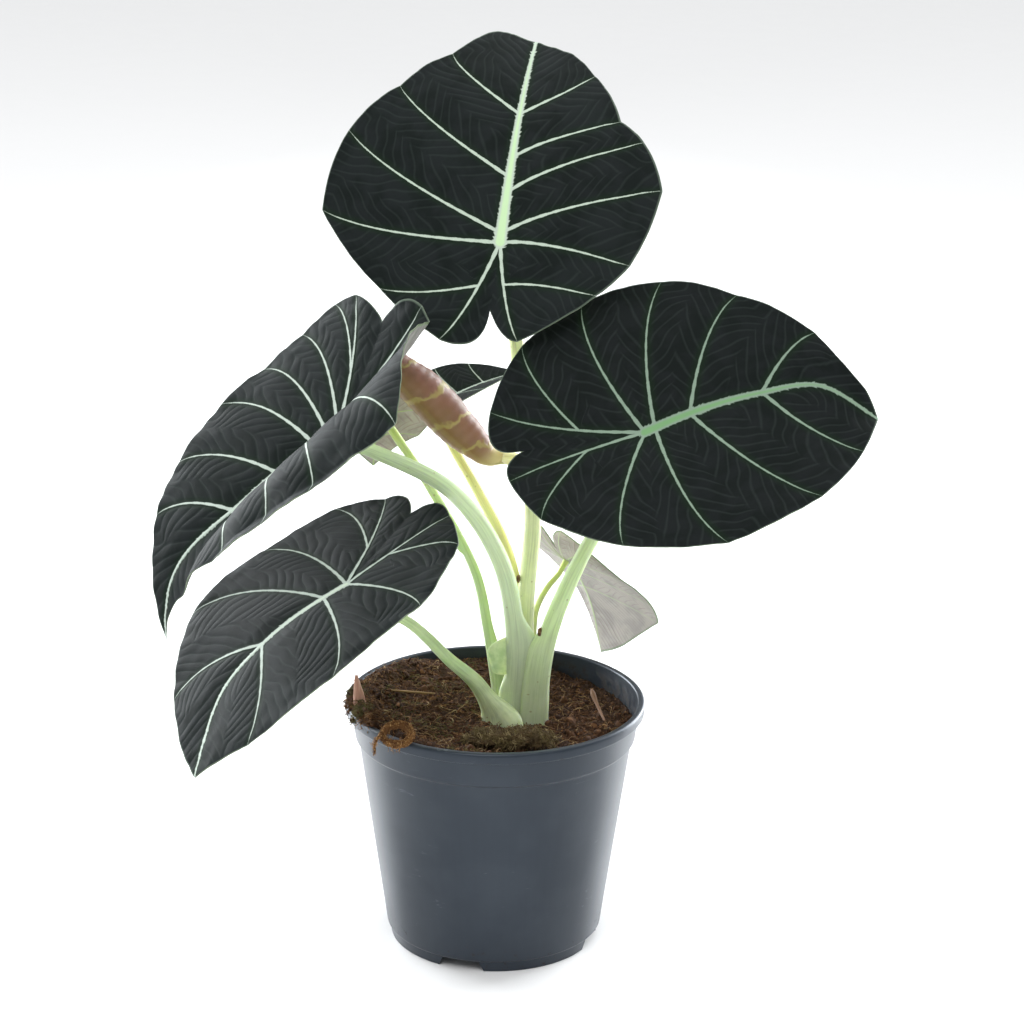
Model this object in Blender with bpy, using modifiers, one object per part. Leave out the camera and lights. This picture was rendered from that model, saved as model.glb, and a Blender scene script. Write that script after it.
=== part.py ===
"""A potted alocasia: dark shield-shaped leaves on pale fleshy stalks in a round nursery pot.

The pot stands on z = 0 and is centred on the Z axis, with its front towards -Y. Lengths are in metres,
leaf shapes in millimetres where MM turns them into metres, and angles in degrees. Every leaf grows from
its junction, the point where the stalk meets the blade: v runs from there to the tip, u to the leaf's
right as seen from above, and the surface rises and falls from that plane by the leaf's own fold, droop
and lift. The blade's outline runs through the ends of its main veins.
"""
import math

import bmesh
import bpy
from mathutils import Vector
from mathutils.noise import noise

MM = 0.001
GAP = 0.0003  # clear space between pieces that touch

# ---- pot ----
POT_HEIGHT = 0.101
RIM_RADIUS = 0.060  # outside of the rolled lip
LIP_HEIGHT = 0.0045
LIP_OVERHANG = 0.0022  # how far the lip stands out from the wall
WALL = 0.0012
STEP_BELOW_RIM = 0.0155  # where the wall steps in
STEP_DEPTH = 0.0012
STEP_SLANT = 0.0010  # half the height over which the inside steps
BASE_RADIUS = 0.0435
FOOT_HEIGHT = 0.0050  # foot ring below the floor
FOOT_RADIUS = 0.0425
FLOOR_THICKNESS = 0.0014
PAD_RADIUS = 0.0100  # middle foot under the floor
POT_STEPS = 48
NOTCH_COUNT = 4
NOTCH_HEIGHT = 0.0042
NOTCH_WIDTH = 0.0200
NOTCH_TURN = -108.0  # direction of the first notch, from +X
DRAIN_COUNT = 8
DRAIN_RADIUS = 0.0035
DRAIN_RING = 0.0290

# ---- potting mix ----
MIX_BELOW_RIM = 0.0062
MIX_HEAP = 0.0048  # how much higher it lies at the left
MIX_HEAP_TURN = 175.0  # direction of the heap, from +X
MIX_BUMP = 0.0011
MIX_RINGS = 7
MIX_SIDES = 40
CROWN_X = 0.0065
CROWN_Y = -0.0005
CROWN_RADIUS = 0.0185
CROWN_LOBES = 0.02  # how far the crown swells in and out round its edge, as a part of its radius
PIT_CLEARANCE = 0.0011  # between the crown and the hole in the mix that it sits in
CROWN_HEIGHT = 0.0120
CROWN_TOP_BELOW_RIM = 0.0080

# ---- leaf blades ----
BLADE_THICKNESS = 0.0009
VEIN_PARTS = 6  # faces along each vein
FORK_PARTS = 2  # of them before a forked rib divides
MIDRIB_PART = 7.0  # mm of midrib to a face
FAN_PARTS = 3  # faces across where two veins leave one point
APEX_ROUND = 1.3  # 2 is a round shoulder beside the tip, 1 a corner
EDGE_BULGE = 0.045  # how far the margin swells between two veins, as a part of their distance

# ---- loose pieces on the mix ----
TUFT_PLACE = (-0.0378, -0.0460)
TUFT_RADIUS = 0.0070
TUFT_THICK = 0.0019
TUFT_TILT = 0.55  # how steeply the curl leans back over the mix
CHIP_SIZE = (0.0052, 0.0022, 0.0150)
MOSS_SIZE = (0.0300, 0.0120, 0.0042)


def clear_scene():
    for obj in list(bpy.data.objects):
        bpy.data.objects.remove(obj, do_unlink=True)
    for old in list(bpy.data.meshes) + list(bpy.data.curves):
        if not old.users:
            (bpy.data.meshes if isinstance(old, bpy.types.Mesh) else bpy.data.curves).remove(old)


def material(name, colour, roughness, metallic=0.0):
    made = bpy.data.materials.new(name)
    made.use_nodes = True
    shader = made.node_tree.nodes["Principled BSDF"]
    shader.inputs["Base Color"].default_value = (*colour, 1.0)
    shader.inputs["Roughness"].default_value = roughness
    shader.inputs["Metallic"].default_value = metallic
    return made


def make_object(name, mesh, collection, finish, smooth=True):
    obj = bpy.data.objects.new(name, mesh)
    collection.objects.link(obj)
    if finish:
        mesh.materials.append(finish)
    if smooth:
        mesh.polygons.foreach_set("use_smooth", [True] * len(mesh.polygons))
    return obj


def mesh_from(name, verts, faces):
    mesh = bpy.data.meshes.new(name)
    mesh.from_pydata(verts, [], faces)
    mesh.validate()
    return mesh


def tidy_normals(mesh):
    work = bmesh.new()
    work.from_mesh(mesh)
    bmesh.ops.remove_doubles(work, verts=work.verts, dist=1e-6)
    bmesh.ops.recalc_face_normals(work, faces=work.faces)
    work.to_mesh(mesh)
    work.free()


def smooth_path(points, parts):
    """A smooth path through points, parts pieces between each two; a point may carry a radius as well."""
    ends = [[2 * a - b for a, b in zip(points[0], points[1])],
            [2 * a - b for a, b in zip(points[-1], points[-2])]]
    knots = [ends[0], *points, ends[1]]
    gaps = [math.sqrt(math.dist(a, b)) for a, b in zip(knots, knots[1:])]
    path = []
    for i in range(1, len(knots) - 2):
        before, here, after = gaps[i - 1:i + 2]
        for k in range(parts):
            t = k / parts
            point = []
            for p, q, r, s in zip(*knots[i - 1:i + 3]):
                leave = here * ((q - p) / before - (r - p) / (before + here)) + r - q
                arrive = here * ((s - r) / after - (s - q) / (here + after)) + r - q
                point.append(q + leave * t + (3 * (r - q) - 2 * leave - arrive) * t ** 2
                             + (2 * (q - r) + leave + arrive) * t ** 3)
            path.append(point)
    path.append(list(points[-1]))
    return path


def tube(name, points, collection, finish, bevel=3, parts=2):
    """A tapered round stalk through points (x, y, z, radius), with closed ends, as a mesh."""
    curve = bpy.data.curves.new(name, "CURVE")
    curve.dimensions = "3D"
    curve.bevel_depth = 1.0
    curve.bevel_resolution = bevel
    curve.render_resolution_u = 0
    curve.use_fill_caps = True
    path = smooth_path(points, parts)
    spline = curve.splines.new("POLY")
    spline.points.add(len(path) - 1)
    for point, (x, y, z, radius) in zip(spline.points, path):
        point.co = (x, y, z, 1.0)
        point.radius = radius
    source = bpy.data.objects.new(name + "_path", curve)
    collection.objects.link(source)
    mesh = bpy.data.meshes.new_from_object(source.evaluated_get(bpy.context.evaluated_depsgraph_get()))
    bpy.data.objects.remove(source, do_unlink=True)
    bpy.data.curves.remove(curve)
    tidy_normals(mesh)
    mesh.materials.clear()
    return make_object(name, mesh, collection, finish)


# ---- leaves -------------------------------------------------------------------------------------------

def leaf(**sizes):
    """A leaf's driving sizes, with what it doesn't name taken from here."""
    usual = dict(fold=(0.2, 0.2), crest=(0.0, 0.0), droop=10.0, droop_power=2.0, lift=4.0, midrib=[])
    usual.update(sizes)
    return usual


LEAVES = {
    # junction in metres; heading, pitch and roll in degrees; the rest in millimetres
    "top": leaf(
        at=(0.0002, 0.0260, 0.2821), heading=82, pitch=52, roll=3, width=62, droop=32, droop_power=2.6,
        lift=2, tip=(3, 105), notch=(-1, -30), tip_side=((20, 94), (-14, 110)),
        right=[(60, 30, 81), (38, 43, 55), (22, 53, 45), (4, 62, 23), (0, 52, -10), ("rib", 40, -23),
               (0, 11, -43)],
        left=[(60, -29, 89), (29, -47, 67), (4, -64, 42), (0, -70, 5), ("rib", -44, -26), (0, -19, -45)],
        lobe_side=((5, -40), (-6, -44))),
    "right": leaf(
        at=(0.0562, -0.0300, 0.2219), heading=-6, pitch=14, roll=42, width=58, fold=(0.16, 0.16), droop=20,
        lift=6, midrib=[(-12, 68), (-10, 45), (-5, 19)], tip=(2, 87), notch=(-1, -46),
        tip_side=((12, 83), (-10, 84)),
        right=[(46, 18, 80), (18, 39, 63), (4, 57, 27), (0, 51, -12), ("rib", 33, -42), (0, 14, -53)],
        left=[(46, -35, 69), (18, -53, 42), (4, -63, 14), (0, -60, -18), ("rib", -45, -43), (0, -18, -58)],
        lobe_side=((5, -53), (-3, -58))),
    "left_upper": leaf(
        at=(-0.0612, -0.0300, 0.2218), heading=203, pitch=-36, roll=0, width=56, fold=(0.36, 0.42),
        droop=26, droop_power=5, lift=12, midrib=[(10, 82), (5, 50), (4, 20)], tip=(7, 101),
        notch=(21, -42), crest=(9.0, 0), tip_side=((21, 88), (3, 88)),
        right=[(50, 34, 72), (28, 45, 52), (10, 55, 24), (4, 56, 2), (0, 54, -18), ("rib", 51, -35),
               (0, 43, -43)],
        left=[(50, -25, 66), (28, -39, 48), (12, -49, 27), (0, -57, -12), ("rib", -26, -38), (0, 7, -56)],
        lobe_side=((32, -44), (17, -53))),
    "left_lower": leaf(
        at=(-0.0572, -0.0450, 0.1647), heading=212, pitch=-24, roll=0, width=55, fold=(0.0, 0.0), droop=34,
        lift=4, midrib=[(12, 60), (9, 38), (2, 10)], tip=(1, 87), notch=(14, -41),
        tip_side=((17, 82), (-10, 78)),
        right=[(38, 38, 71), (10, 61, 43), (0, 57, 6), ("rib", 51, -26), (0, 34, -41)],
        left=[(38, -21, 69), (10, -42, 34), (0, -44, -8), ("rib", -25, -39), (0, -5, -48)],
        lobe_side=((25, -46), (7, -50))),
    "back_left": leaf(
        at=(-0.0474, 0.0160, 0.2208), heading=100, pitch=-58, roll=0, width=25, droop=4, lift=3,
        tip=(0, 36), notch=(0, -9), tip_side=((9, 28), (-9, 28)),
        right=[(20, 18, 24), (9, 25, 12), (0, 25, -1), (0, 17, -12), (0, 7, -17)],
        left=[(20, -18, 24), (9, -25, 12), (0, -25, -1), (0, -17, -12), (0, -7, -17)],
        lobe_side=((2, -15), (-2, -15))),
    "back_right": leaf(
        at=(0.0287, 0.0450, 0.1444), heading=42, pitch=-40, roll=0, width=34, fold=(0.10, -0.05), droop=20,
        lift=3, tip=(-5, 51), notch=(0, -10), tip_side=((17, 41), (-9, 36)),
        right=[(22, 33, 26), (9, 40, 15), (0, 36, -2), (0, 24, -14), (0, 9, -20)],
        left=[(22, -14, 27), (9, -19, 13), (0, -20, -1), (0, -17, -15), (0, -9, -21)],
        lobe_side=((3, -17), (-3, -17))),
    "back_curved": leaf(
        at=(-0.0252, 0.0480, 0.2092), heading=36, pitch=20, roll=0, width=20, fold=(0.50, 0.50), droop=8,
        lift=2, tip=(0, 43), notch=(0, -10), tip_side=((7, 35), (-7, 35)),
        right=[(24, 13, 27), (11, 18, 14), (0, 18, 0), (0, 13, -12), (0, 6, -17)],
        left=[(24, -13, 27), (11, -18, 14), (0, -18, 0), (0, -13, -12), (0, -6, -17)],
        lobe_side=((2, -15), (-2, -15))),
}


def leaf_frame(sizes):
    """Unit vectors of a leaf: along the midrib to the tip, to its right, and out of its upper face."""
    heading, pitch, roll = (math.radians(sizes[key]) for key in ("heading", "pitch", "roll"))
    along = Vector((math.cos(heading) * math.cos(pitch), math.sin(heading) * math.cos(pitch),
                    math.sin(pitch)))
    side = Vector((math.sin(heading), -math.cos(heading), 0.0))
    up = side.cross(along)
    return along, side * math.cos(roll) - up * math.sin(roll), side * math.sin(roll) + up * math.cos(roll)


def leaf_height(sizes, u, v):
    """How far the surface stands above the leaf's plane at (u, v), in millimetres."""
    out = abs(u)
    side = 1 if u >= 0 else 0
    share = min(out / sizes["width"], 1.0)
    ahead = max(v, 0.0) / sizes["tip"][1]
    taper = max(1 - ahead ** 1.2, 0.15)  # of the crest's breadth and height towards the tip
    hump = math.sin(math.pi * min(out / (sizes["width"] * taper), 1.0)) * taper
    rise = sizes["fold"][side] * out * (1 - 0.35 * share) + sizes["crest"][side] * hump
    behind = min(v, 0.0) / sizes["notch"][1]
    return rise - sizes["droop"] * ahead ** sizes["droop_power"] + sizes["lift"] * behind ** 2 / 2


def leaf_point(sizes, u, v):
    along, side, up = leaf_frame(sizes)
    offset = side * u + along * v + up * leaf_height(sizes, u, v)
    return Vector(sizes["at"]) + offset * MM


def bent(start, end, bow, parts):
    """Points of a vein from start to end, bowed sideways by a part of its length."""
    du, dv = end[0] - start[0], end[1] - start[1]
    middle = (start[0] + du / 2 + bow * dv, start[1] + dv / 2 - bow * du)
    points = []
    for k in range(parts + 1):
        t = k / parts
        a, b, c = (1 - t) ** 2, 2 * t * (1 - t), t * t
        points.append(tuple(a * start[i] + b * middle[i] + c * end[i] for i in range(2)))
    return points


def midrib_line(sizes):
    """The midrib from tip to junction as a smooth flat line, and a way to find its point at any v."""
    knots = [sizes["tip"], *sizes["midrib"], (0.0, 0.0)]
    line = smooth_path([list(k) for k in knots], 12)

    def at(v):
        for (u1, v1), (u2, v2) in zip(line, line[1:]):
            if v2 <= v <= v1:
                t = (v1 - v) / (v1 - v2) if v1 > v2 else 0.0
                return (u1 + (u2 - u1) * t, v)
        return (0.0, 0.0)
    return at


def midrib_stations(sizes):
    """Where the faces of both halves meet the midrib, from the first side veins back to the junction."""
    starts = {vein[0] for side in ("left", "right") for vein in sizes[side] if vein[0] != "rib"}
    order = sorted(starts, reverse=True)
    stations = []
    for high, low in zip(order, order[1:]):
        parts = max(2, round((high - low) / MIDRIB_PART))
        stations += [high + (low - high) * k / parts for k in range(parts)]
    return stations + [0]


def half_blade(sizes, side, add):
    """Faces of one half of a blade, sector by sector from the tip round to the notch."""
    sign = 1 if side == "right" else -1
    mid = midrib_line(sizes)
    stations = midrib_stations(sizes)
    veins = sizes[side]
    first = veins[0][0]
    tail = [mid(first + (sizes["tip"][1] - first) * k / VEIN_PARTS) for k in range(VEIN_PARTS + 1)]
    basal = bent((0.0, 0.0), sizes["notch"], 0.0, VEIN_PARTS)
    rows = []
    for i, (start, u, v) in enumerate(veins):
        if start == "rib":
            rib = bent((0.0, 0.0), veins[i + 1][1:], 0.10 * sign, VEIN_PARTS)
            fork = bent(rib[FORK_PARTS], (u, v), 0.08 * sign, VEIN_PARTS - FORK_PARTS)
            rows.append(rib[:FORK_PARTS] + fork)
        elif i and veins[i - 1][0] == "rib":
            rows.append(bent((0.0, 0.0), (u, v), 0.10 * sign, VEIN_PARTS))
        else:
            rows.append(bent(mid(start), (u, v), 0.08 * sign, VEIN_PARTS))
    starts = [first, *(0 if vein[0] == "rib" else vein[0] for vein in veins), 0]
    lines = [tail, *rows, basal]
    tip_side, lobe_side = (sizes[key][0 if side == "right" else 1] for key in ("tip_side", "lobe_side"))
    for i, (one, two) in enumerate(zip(lines, lines[1:])):
        forked = 0 < i < len(veins) and veins[i - 1][0] == "rib"
        roots = [v for v in stations if starts[i + 1] <= v <= starts[i]]
        parts = len(roots) - 1 if len(roots) > 1 else FAN_PARTS
        via = tip_side if i == 0 else lobe_side if i == len(lines) - 2 else None

        def edge(t):
            a, b = one[-1], two[-1]
            flat = (a[0] + (b[0] - a[0]) * t, a[1] + (b[1] - a[1]) * t)
            if via:
                mu, mv = via[0] - (a[0] + b[0]) / 2, via[1] - (a[1] + b[1]) / 2
            else:
                mu, mv = -(b[1] - a[1]) * EDGE_BULGE * sign, (b[0] - a[0]) * EDGE_BULGE * sign
            rise = 1 - abs(2 * t - 1) ** (APEX_ROUND if i == 0 else 2)
            return (flat[0] + mu * rise, flat[1] + mv * rise)

        def inner(t):
            return mid(roots[round(t * parts)]) if len(roots) > 1 else one[0]

        def place(k, j):
            s, t = k / VEIN_PARTS, j / parts
            if j == 0:
                return one[k]
            if j == parts:
                return two[k]
            flat = [one[k][n] * (1 - t) + two[k][n] * t for n in (0, 1)]
            rim, root = edge(t), inner(t)
            blend_out, blend_in = s * s, (1 - s) ** 2
            return tuple(flat[n] + blend_out * (rim[n] - one[-1][n] * (1 - t) - two[-1][n] * t)
                         + blend_in * (root[n] - one[0][n] * (1 - t) - two[0][n] * t) for n in (0, 1))

        for k in range(FORK_PARTS if forked else 0, VEIN_PARTS):
            for j in range(parts):
                ring = [place(k, j), place(k + 1, j), place(k + 1, j + 1), place(k, j + 1)]
                add(ring if sign > 0 else ring[::-1])


def blade(name, sizes, collection, finish):
    """One leaf blade: both halves as one sheet, then given its thickness downwards."""
    places, verts, faces = {}, [], []

    def index(point):
        key = (round(point[0], 3), round(point[1], 3))
        if key not in places:
            places[key] = len(verts)
            verts.append(leaf_point(sizes, *point))
        return places[key]

    def add(ring):
        corners = []
        for point in ring:
            one = index(point)
            if one not in corners:
                corners.append(one)
        if len(corners) > 2:
            faces.append(corners)

    half_blade(sizes, "right", add)
    half_blade(sizes, "left", add)
    mesh = mesh_from(name, verts, faces)
    tidy_normals(mesh)
    obj = make_object(name, mesh, collection, finish)
    along, side, up = leaf_frame(sizes)
    if sum((poly.normal.dot(up) for poly in mesh.polygons)) < 0:
        mesh.flip_normals()
    skin = obj.modifiers.new("Thickness", "SOLIDIFY")
    skin.thickness = BLADE_THICKNESS
    skin.offset = -1.0
    return obj


# Stalks: hand-placed points (x, y, z, radius) from the crown up; each ends on its leaf's junction.
CROWN_TOP = POT_HEIGHT - CROWN_TOP_BELOW_RIM
FOOT_OF_STALK = CROWN_TOP + 2 * GAP
STALKS = {
    "top": [(0.0120, 0.0045, FOOT_OF_STALK, 0.0036), (0.0118, 0.0050, 0.1400, 0.0034),
            (0.0142, 0.0070, 0.1775, 0.0033), (0.0098, 0.0170, 0.2205, 0.0031),
            (0.0052, 0.0270, 0.2540, 0.0028)],
    "right": [(0.0165, -0.0042, FOOT_OF_STALK, 0.0042), (0.0203, -0.0060, 0.1280, 0.0037),
              (0.0327, -0.0120, 0.1635, 0.0029), (0.0484, -0.0180, 0.1950, 0.0026)],
    "left_upper": [(0.0064, -0.0026, FOOT_OF_STALK, 0.0040), (0.0078, -0.0040, 0.1270, 0.0037),
                   (0.0014, -0.0080, 0.1620, 0.0035), (-0.0180, -0.0150, 0.1930, 0.0032),
                   (-0.0480, -0.0210, 0.2105, 0.0027)],
    "left_lower": [(-0.0010, -0.0085, FOOT_OF_STALK, 0.0042), (-0.0070, -0.0120, 0.1110, 0.0032),
                   (-0.0180, -0.0170, 0.1233, 0.0025), (-0.0342, -0.0260, 0.1424, 0.0021)],
    "back_left": [(0.0010, 0.0056, FOOT_OF_STALK, 0.0022), (-0.0036, 0.0085, 0.1290, 0.0021),
                  (-0.0087, 0.0110, 0.1510, 0.0019), (-0.0270, 0.0130, 0.1855, 0.0018),
                  (-0.0405, 0.0110, 0.2075, 0.0017)],
    "back_curved": [(0.0052, 0.0098, FOOT_OF_STALK, 0.0026), (0.0080, 0.0110, 0.1385, 0.0025),
                    (0.0032, 0.0150, 0.1605, 0.0024), (-0.0080, 0.0240, 0.1807, 0.0022),
                    (-0.0200, 0.0370, 0.1980, 0.0019)],
    "back_right": [(0.0145, 0.0100, FOOT_OF_STALK, 0.0016), (0.0148, 0.0160, 0.1190, 0.0014),
                   (0.0160, 0.0230, 0.1300, 0.0013), (0.0205, 0.0330, 0.1360, 0.0012)],
}
STALK_RISE = 0.0040  # the first stretch stands square to the crown
STALK_END = 0.0013  # below the junction, so that the stalk's top clears the blade's underside
STALK_NECK = 0.0070  # the last stretch stands square to the blade

# The rolled young leaf: its stalk leaves the top leaf's stalk high up and hooks over to the left.
ROLLED_STALK = [(0.0125, 0.0125, 0.1560, 0.0018), (0.0131, 0.0150, 0.1760, 0.0020),
                (0.0112, 0.0155, 0.1895, 0.0024), (0.0073, 0.0145, 0.1962, 0.0026),
                (0.0017, 0.0130, 0.1978, 0.0024)]
ROLLED_BLADE = [(0.0009, 0.0128, 0.1979, 0.0022), (-0.0040, 0.0120, 0.1990, 0.0042),
                (-0.0100, 0.0105, 0.2048, 0.0064), (-0.0172, 0.0080, 0.2125, 0.0078),
                (-0.0268, 0.0045, 0.2244, 0.0082), (-0.0358, 0.0010, 0.2340, 0.0072),
                (-0.0424, -0.0010, 0.2418, 0.0044), (-0.0468, -0.0010, 0.2468, 0.0012)]


def stalk(name, which, collection, finish):
    sizes = LEAVES[which]
    up = leaf_frame(sizes)[2]
    foot, *rest = STALKS[which]
    radius = rest[-1][3]
    points = [foot, (*foot[:2], foot[2] + STALK_RISE, foot[3]), *rest]
    for below in (STALK_NECK, (STALK_NECK + STALK_END) / 2, STALK_END):
        points.append((*(Vector(sizes["at"]) - up * below), radius * 0.92))
    return tube(name, points, collection, finish)


# ---- pot, mix and loose pieces --------------------------------------------------------------------------

def wall_radius(z):
    """Outside of the pot's wall at height z."""
    lip_base = POT_HEIGHT - LIP_HEIGHT
    step = POT_HEIGHT - STEP_BELOW_RIM
    top = RIM_RADIUS - LIP_OVERHANG
    slope = (top - BASE_RADIUS - STEP_DEPTH) / (lip_base - FOOT_HEIGHT)
    above = STEP_DEPTH if z > step else 0.0
    return BASE_RADIUS + slope * (z - FOOT_HEIGHT) + above


def pot(collection, finish, cutters):
    lip_base = POT_HEIGHT - LIP_HEIGHT
    step = POT_HEIGHT - STEP_BELOW_RIM
    floor_top = FOOT_HEIGHT + FLOOR_THICKNESS
    profile = [
        (0.0, floor_top),
        (wall_radius(floor_top) - WALL, floor_top),
        (wall_radius(step - STEP_SLANT) - WALL, step - STEP_SLANT),
        (wall_radius(step + STEP_SLANT) - WALL, step + STEP_SLANT),
        (wall_radius(POT_HEIGHT) - WALL, POT_HEIGHT - 0.0006),
        (wall_radius(POT_HEIGHT) - WALL + 0.0008, POT_HEIGHT),
        (RIM_RADIUS - 0.0010, POT_HEIGHT),
        (RIM_RADIUS, POT_HEIGHT - 0.0009),
        (RIM_RADIUS, lip_base + 0.0006),
        (RIM_RADIUS - 0.0006, lip_base),
        (wall_radius(lip_base), lip_base),
        (wall_radius(step + STEP_SLANT / 2), step + STEP_SLANT / 2),
        (wall_radius(step - STEP_SLANT / 2), step - STEP_SLANT / 2),
        (BASE_RADIUS, FOOT_HEIGHT),
        (FOOT_RADIUS, FOOT_HEIGHT - 0.0004),
        (FOOT_RADIUS - 0.0006, 0.0),
        (FOOT_RADIUS - 0.0006 - WALL, 0.0),
        (FOOT_RADIUS - WALL, FOOT_HEIGHT),
        (PAD_RADIUS + 0.0010, FOOT_HEIGHT),
        (PAD_RADIUS, 0.0),
        (0.0, 0.0),
    ]
    mesh = bpy.data.meshes.new("pot")
    mesh.from_pydata([(x, 0.0, z) for x, z in profile], [(i, i + 1) for i in range(len(profile) - 1)], [])
    obj = make_object("pot", mesh, collection, finish)
    turn = obj.modifiers.new("Turned wall", "SCREW")
    turn.steps = turn.render_steps = POT_STEPS
    turn.axis = "Z"
    turn.use_merge_vertices = True
    turn.merge_threshold = 0.00002
    for i in range(NOTCH_COUNT):
        angle = math.radians(NOTCH_TURN + 360.0 * i / NOTCH_COUNT)
        cut_out(obj, notch_cutter(i, angle, cutters), "Notch")
    for i in range(DRAIN_COUNT):
        angle = math.radians(NOTCH_TURN + 360.0 * (i + 0.5) / DRAIN_COUNT)
        cut_out(obj, drain_cutter(i, angle, cutters), "Drain hole")
    return obj


def cut_out(obj, cutter, label):
    cut = obj.modifiers.new(label, "BOOLEAN")
    cut.operation = "DIFFERENCE"
    cut.solver = "EXACT"
    cut.object = cutter


def as_cutter(name, mesh, cutters):
    obj = make_object(name, mesh, cutters, None, smooth=False)
    obj.hide_render = True
    obj.display_type = "WIRE"
    return obj


def notch_cutter(number, angle, cutters):
    """A wedge that narrows upwards, set across the foot ring."""
    low, high = NOTCH_WIDTH / 2, NOTCH_WIDTH / 2 - NOTCH_HEIGHT * 0.6
    inner, outer = FOOT_RADIUS - 0.0085, FOOT_RADIUS + 0.0100
    corners = []
    for radius in (inner, outer):
        for across, z in ((-low, -0.001), (low, -0.001), (high, NOTCH_HEIGHT), (-high, NOTCH_HEIGHT)):
            corners.append((radius * math.cos(angle) - across * math.sin(angle),
                            radius * math.sin(angle) + across * math.cos(angle), z))
    faces = [(0, 1, 2, 3), (7, 6, 5, 4), (0, 4, 5, 1), (1, 5, 6, 2), (2, 6, 7, 3), (3, 7, 4, 0)]
    mesh = mesh_from(f"notch_{number}", corners, faces)
    tidy_normals(mesh)
    return as_cutter(f"notch_cutter_{number}", mesh, cutters)


def round_bar(name, radius, low, high, centre, sides=20):
    work = bmesh.new()
    bmesh.ops.create_cone(work, cap_ends=True, segments=sides, radius1=radius, radius2=radius,
                          depth=high - low)
    bmesh.ops.translate(work, verts=work.verts, vec=(centre[0], centre[1], (low + high) / 2))
    mesh = bpy.data.meshes.new(name)
    work.to_mesh(mesh)
    work.free()
    return mesh


def drain_cutter(number, angle, cutters):
    centre = (DRAIN_RING * math.cos(angle), DRAIN_RING * math.sin(angle))
    mesh = round_bar(f"drain_{number}", DRAIN_RADIUS, FOOT_HEIGHT - 0.002,
                     FOOT_HEIGHT + FLOOR_THICKNESS + 0.002, centre)
    return as_cutter(f"drain_cutter_{number}", mesh, cutters)


def mix_top(x, y):
    """Height of the potting mix at (x, y)."""
    reach = min(math.hypot(x, y) / RIM_RADIUS, 1.0)
    heap = MIX_HEAP * reach * math.cos(math.atan2(y, x) - math.radians(MIX_HEAP_TURN))
    bump = MIX_BUMP * noise(Vector((x * 90, y * 90, 0.4)))
    return POT_HEIGHT - MIX_BELOW_RIM + heap + bump


def potting_mix(collection, finish, cutters):
    step = POT_HEIGHT - STEP_BELOW_RIM
    bottom = FOOT_HEIGHT + FLOOR_THICKNESS + GAP
    facet = math.cos(math.pi / POT_STEPS)
    verts, faces = [], []

    def ring_of(radius_at, height_at):
        first = len(verts)
        for i in range(MIX_SIDES):
            angle = 2 * math.pi * i / MIX_SIDES
            radius = radius_at(angle)
            x, y = radius * math.cos(angle), radius * math.sin(angle)
            verts.append((x, y, height_at(x, y)))
        return first

    def inside(z):
        return (wall_radius(z) - WALL) * facet - GAP

    # up the lower wall, past the wall's slanted step with the same width, then out to the upper wall
    low, high = step - STEP_SLANT, step + STEP_SLANT
    edge = inside(high)
    rings = [ring_of(lambda a: inside(bottom), lambda x, y: bottom),
             ring_of(lambda a: inside(low), lambda x, y: low),
             ring_of(lambda a: inside(low), lambda x, y: high + GAP),
             ring_of(lambda a: edge, lambda x, y: high + 3 * GAP)]
    for k in range(MIX_RINGS, 0, -1):
        rings.append(ring_of(lambda a: edge * k / MIX_RINGS, mix_top))
    for a, b in zip(rings, rings[1:]):
        for i in range(MIX_SIDES):
            j = (i + 1) % MIX_SIDES
            faces.append((a + i, a + j, b + j, b + i))
    middle = len(verts)
    verts.append((0.0, 0.0, mix_top(0.0, 0.0)))
    for i in range(MIX_SIDES):
        faces.append((rings[-1] + i, rings[-1] + (i + 1) % MIX_SIDES, middle))
    faces.append(tuple(range(MIX_SIDES))[::-1])
    mesh = mesh_from("potting_mix", verts, faces)
    tidy_normals(mesh)
    obj = make_object("potting_mix", mesh, collection, finish)
    pit = round_bar("crown_pit", CROWN_RADIUS * (1 + CROWN_LOBES) + PIT_CLEARANCE,
                    CROWN_TOP - CROWN_HEIGHT - GAP, POT_HEIGHT + 0.01, (CROWN_X, CROWN_Y), 32)
    cut_out(obj, as_cutter("pit_cutter", pit, cutters), "Crown pit")
    return obj


def crown(collection, finish):
    """The short stem the stalks grow from, a lump sunk in the mix."""
    sides, rows = 24, [(0.60, 0.0), (0.92, 0.25), (1.0, 0.6), (0.97, 0.9), (0.90, 1.0)]
    verts, faces = [], []
    for spread, lift in rows:
        for i in range(sides):
            angle = 2 * math.pi * i / sides
            radius = CROWN_RADIUS * spread * (1 + CROWN_LOBES * math.sin(5 * angle))
            verts.append((CROWN_X + radius * math.cos(angle), CROWN_Y + radius * math.sin(angle),
                          CROWN_TOP - CROWN_HEIGHT * (1 - lift)))
    for k in range(len(rows) - 1):
        for i in range(sides):
            j = (i + 1) % sides
            faces.append((k * sides + i, k * sides + j, (k + 1) * sides + j, (k + 1) * sides + i))
    faces.append(tuple(range(sides))[::-1])
    faces.append(tuple((len(rows) - 1) * sides + i for i in range(sides)))
    mesh = mesh_from("crown", verts, faces)
    tidy_normals(mesh)
    return make_object("crown", mesh, collection, finish)


def lump(name, centre, size, seed, collection, finish, rough=0.12):
    """A closed lump of loose matter: a ball stretched to size and roughened."""
    work = bmesh.new()
    bmesh.ops.create_icosphere(work, subdivisions=2, radius=1.0)
    for vert in work.verts:
        way = vert.co.normalized()
        swell = 1 + rough * noise(way * 2.2 + Vector((seed, seed * 0.7, 0.0)))
        vert.co = Vector([c + s / 2 * w * swell for c, s, w in zip(centre, size, way)])
    mesh = bpy.data.meshes.new(name)
    work.to_mesh(mesh)
    work.free()
    return make_object(name, mesh, collection, finish)


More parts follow.
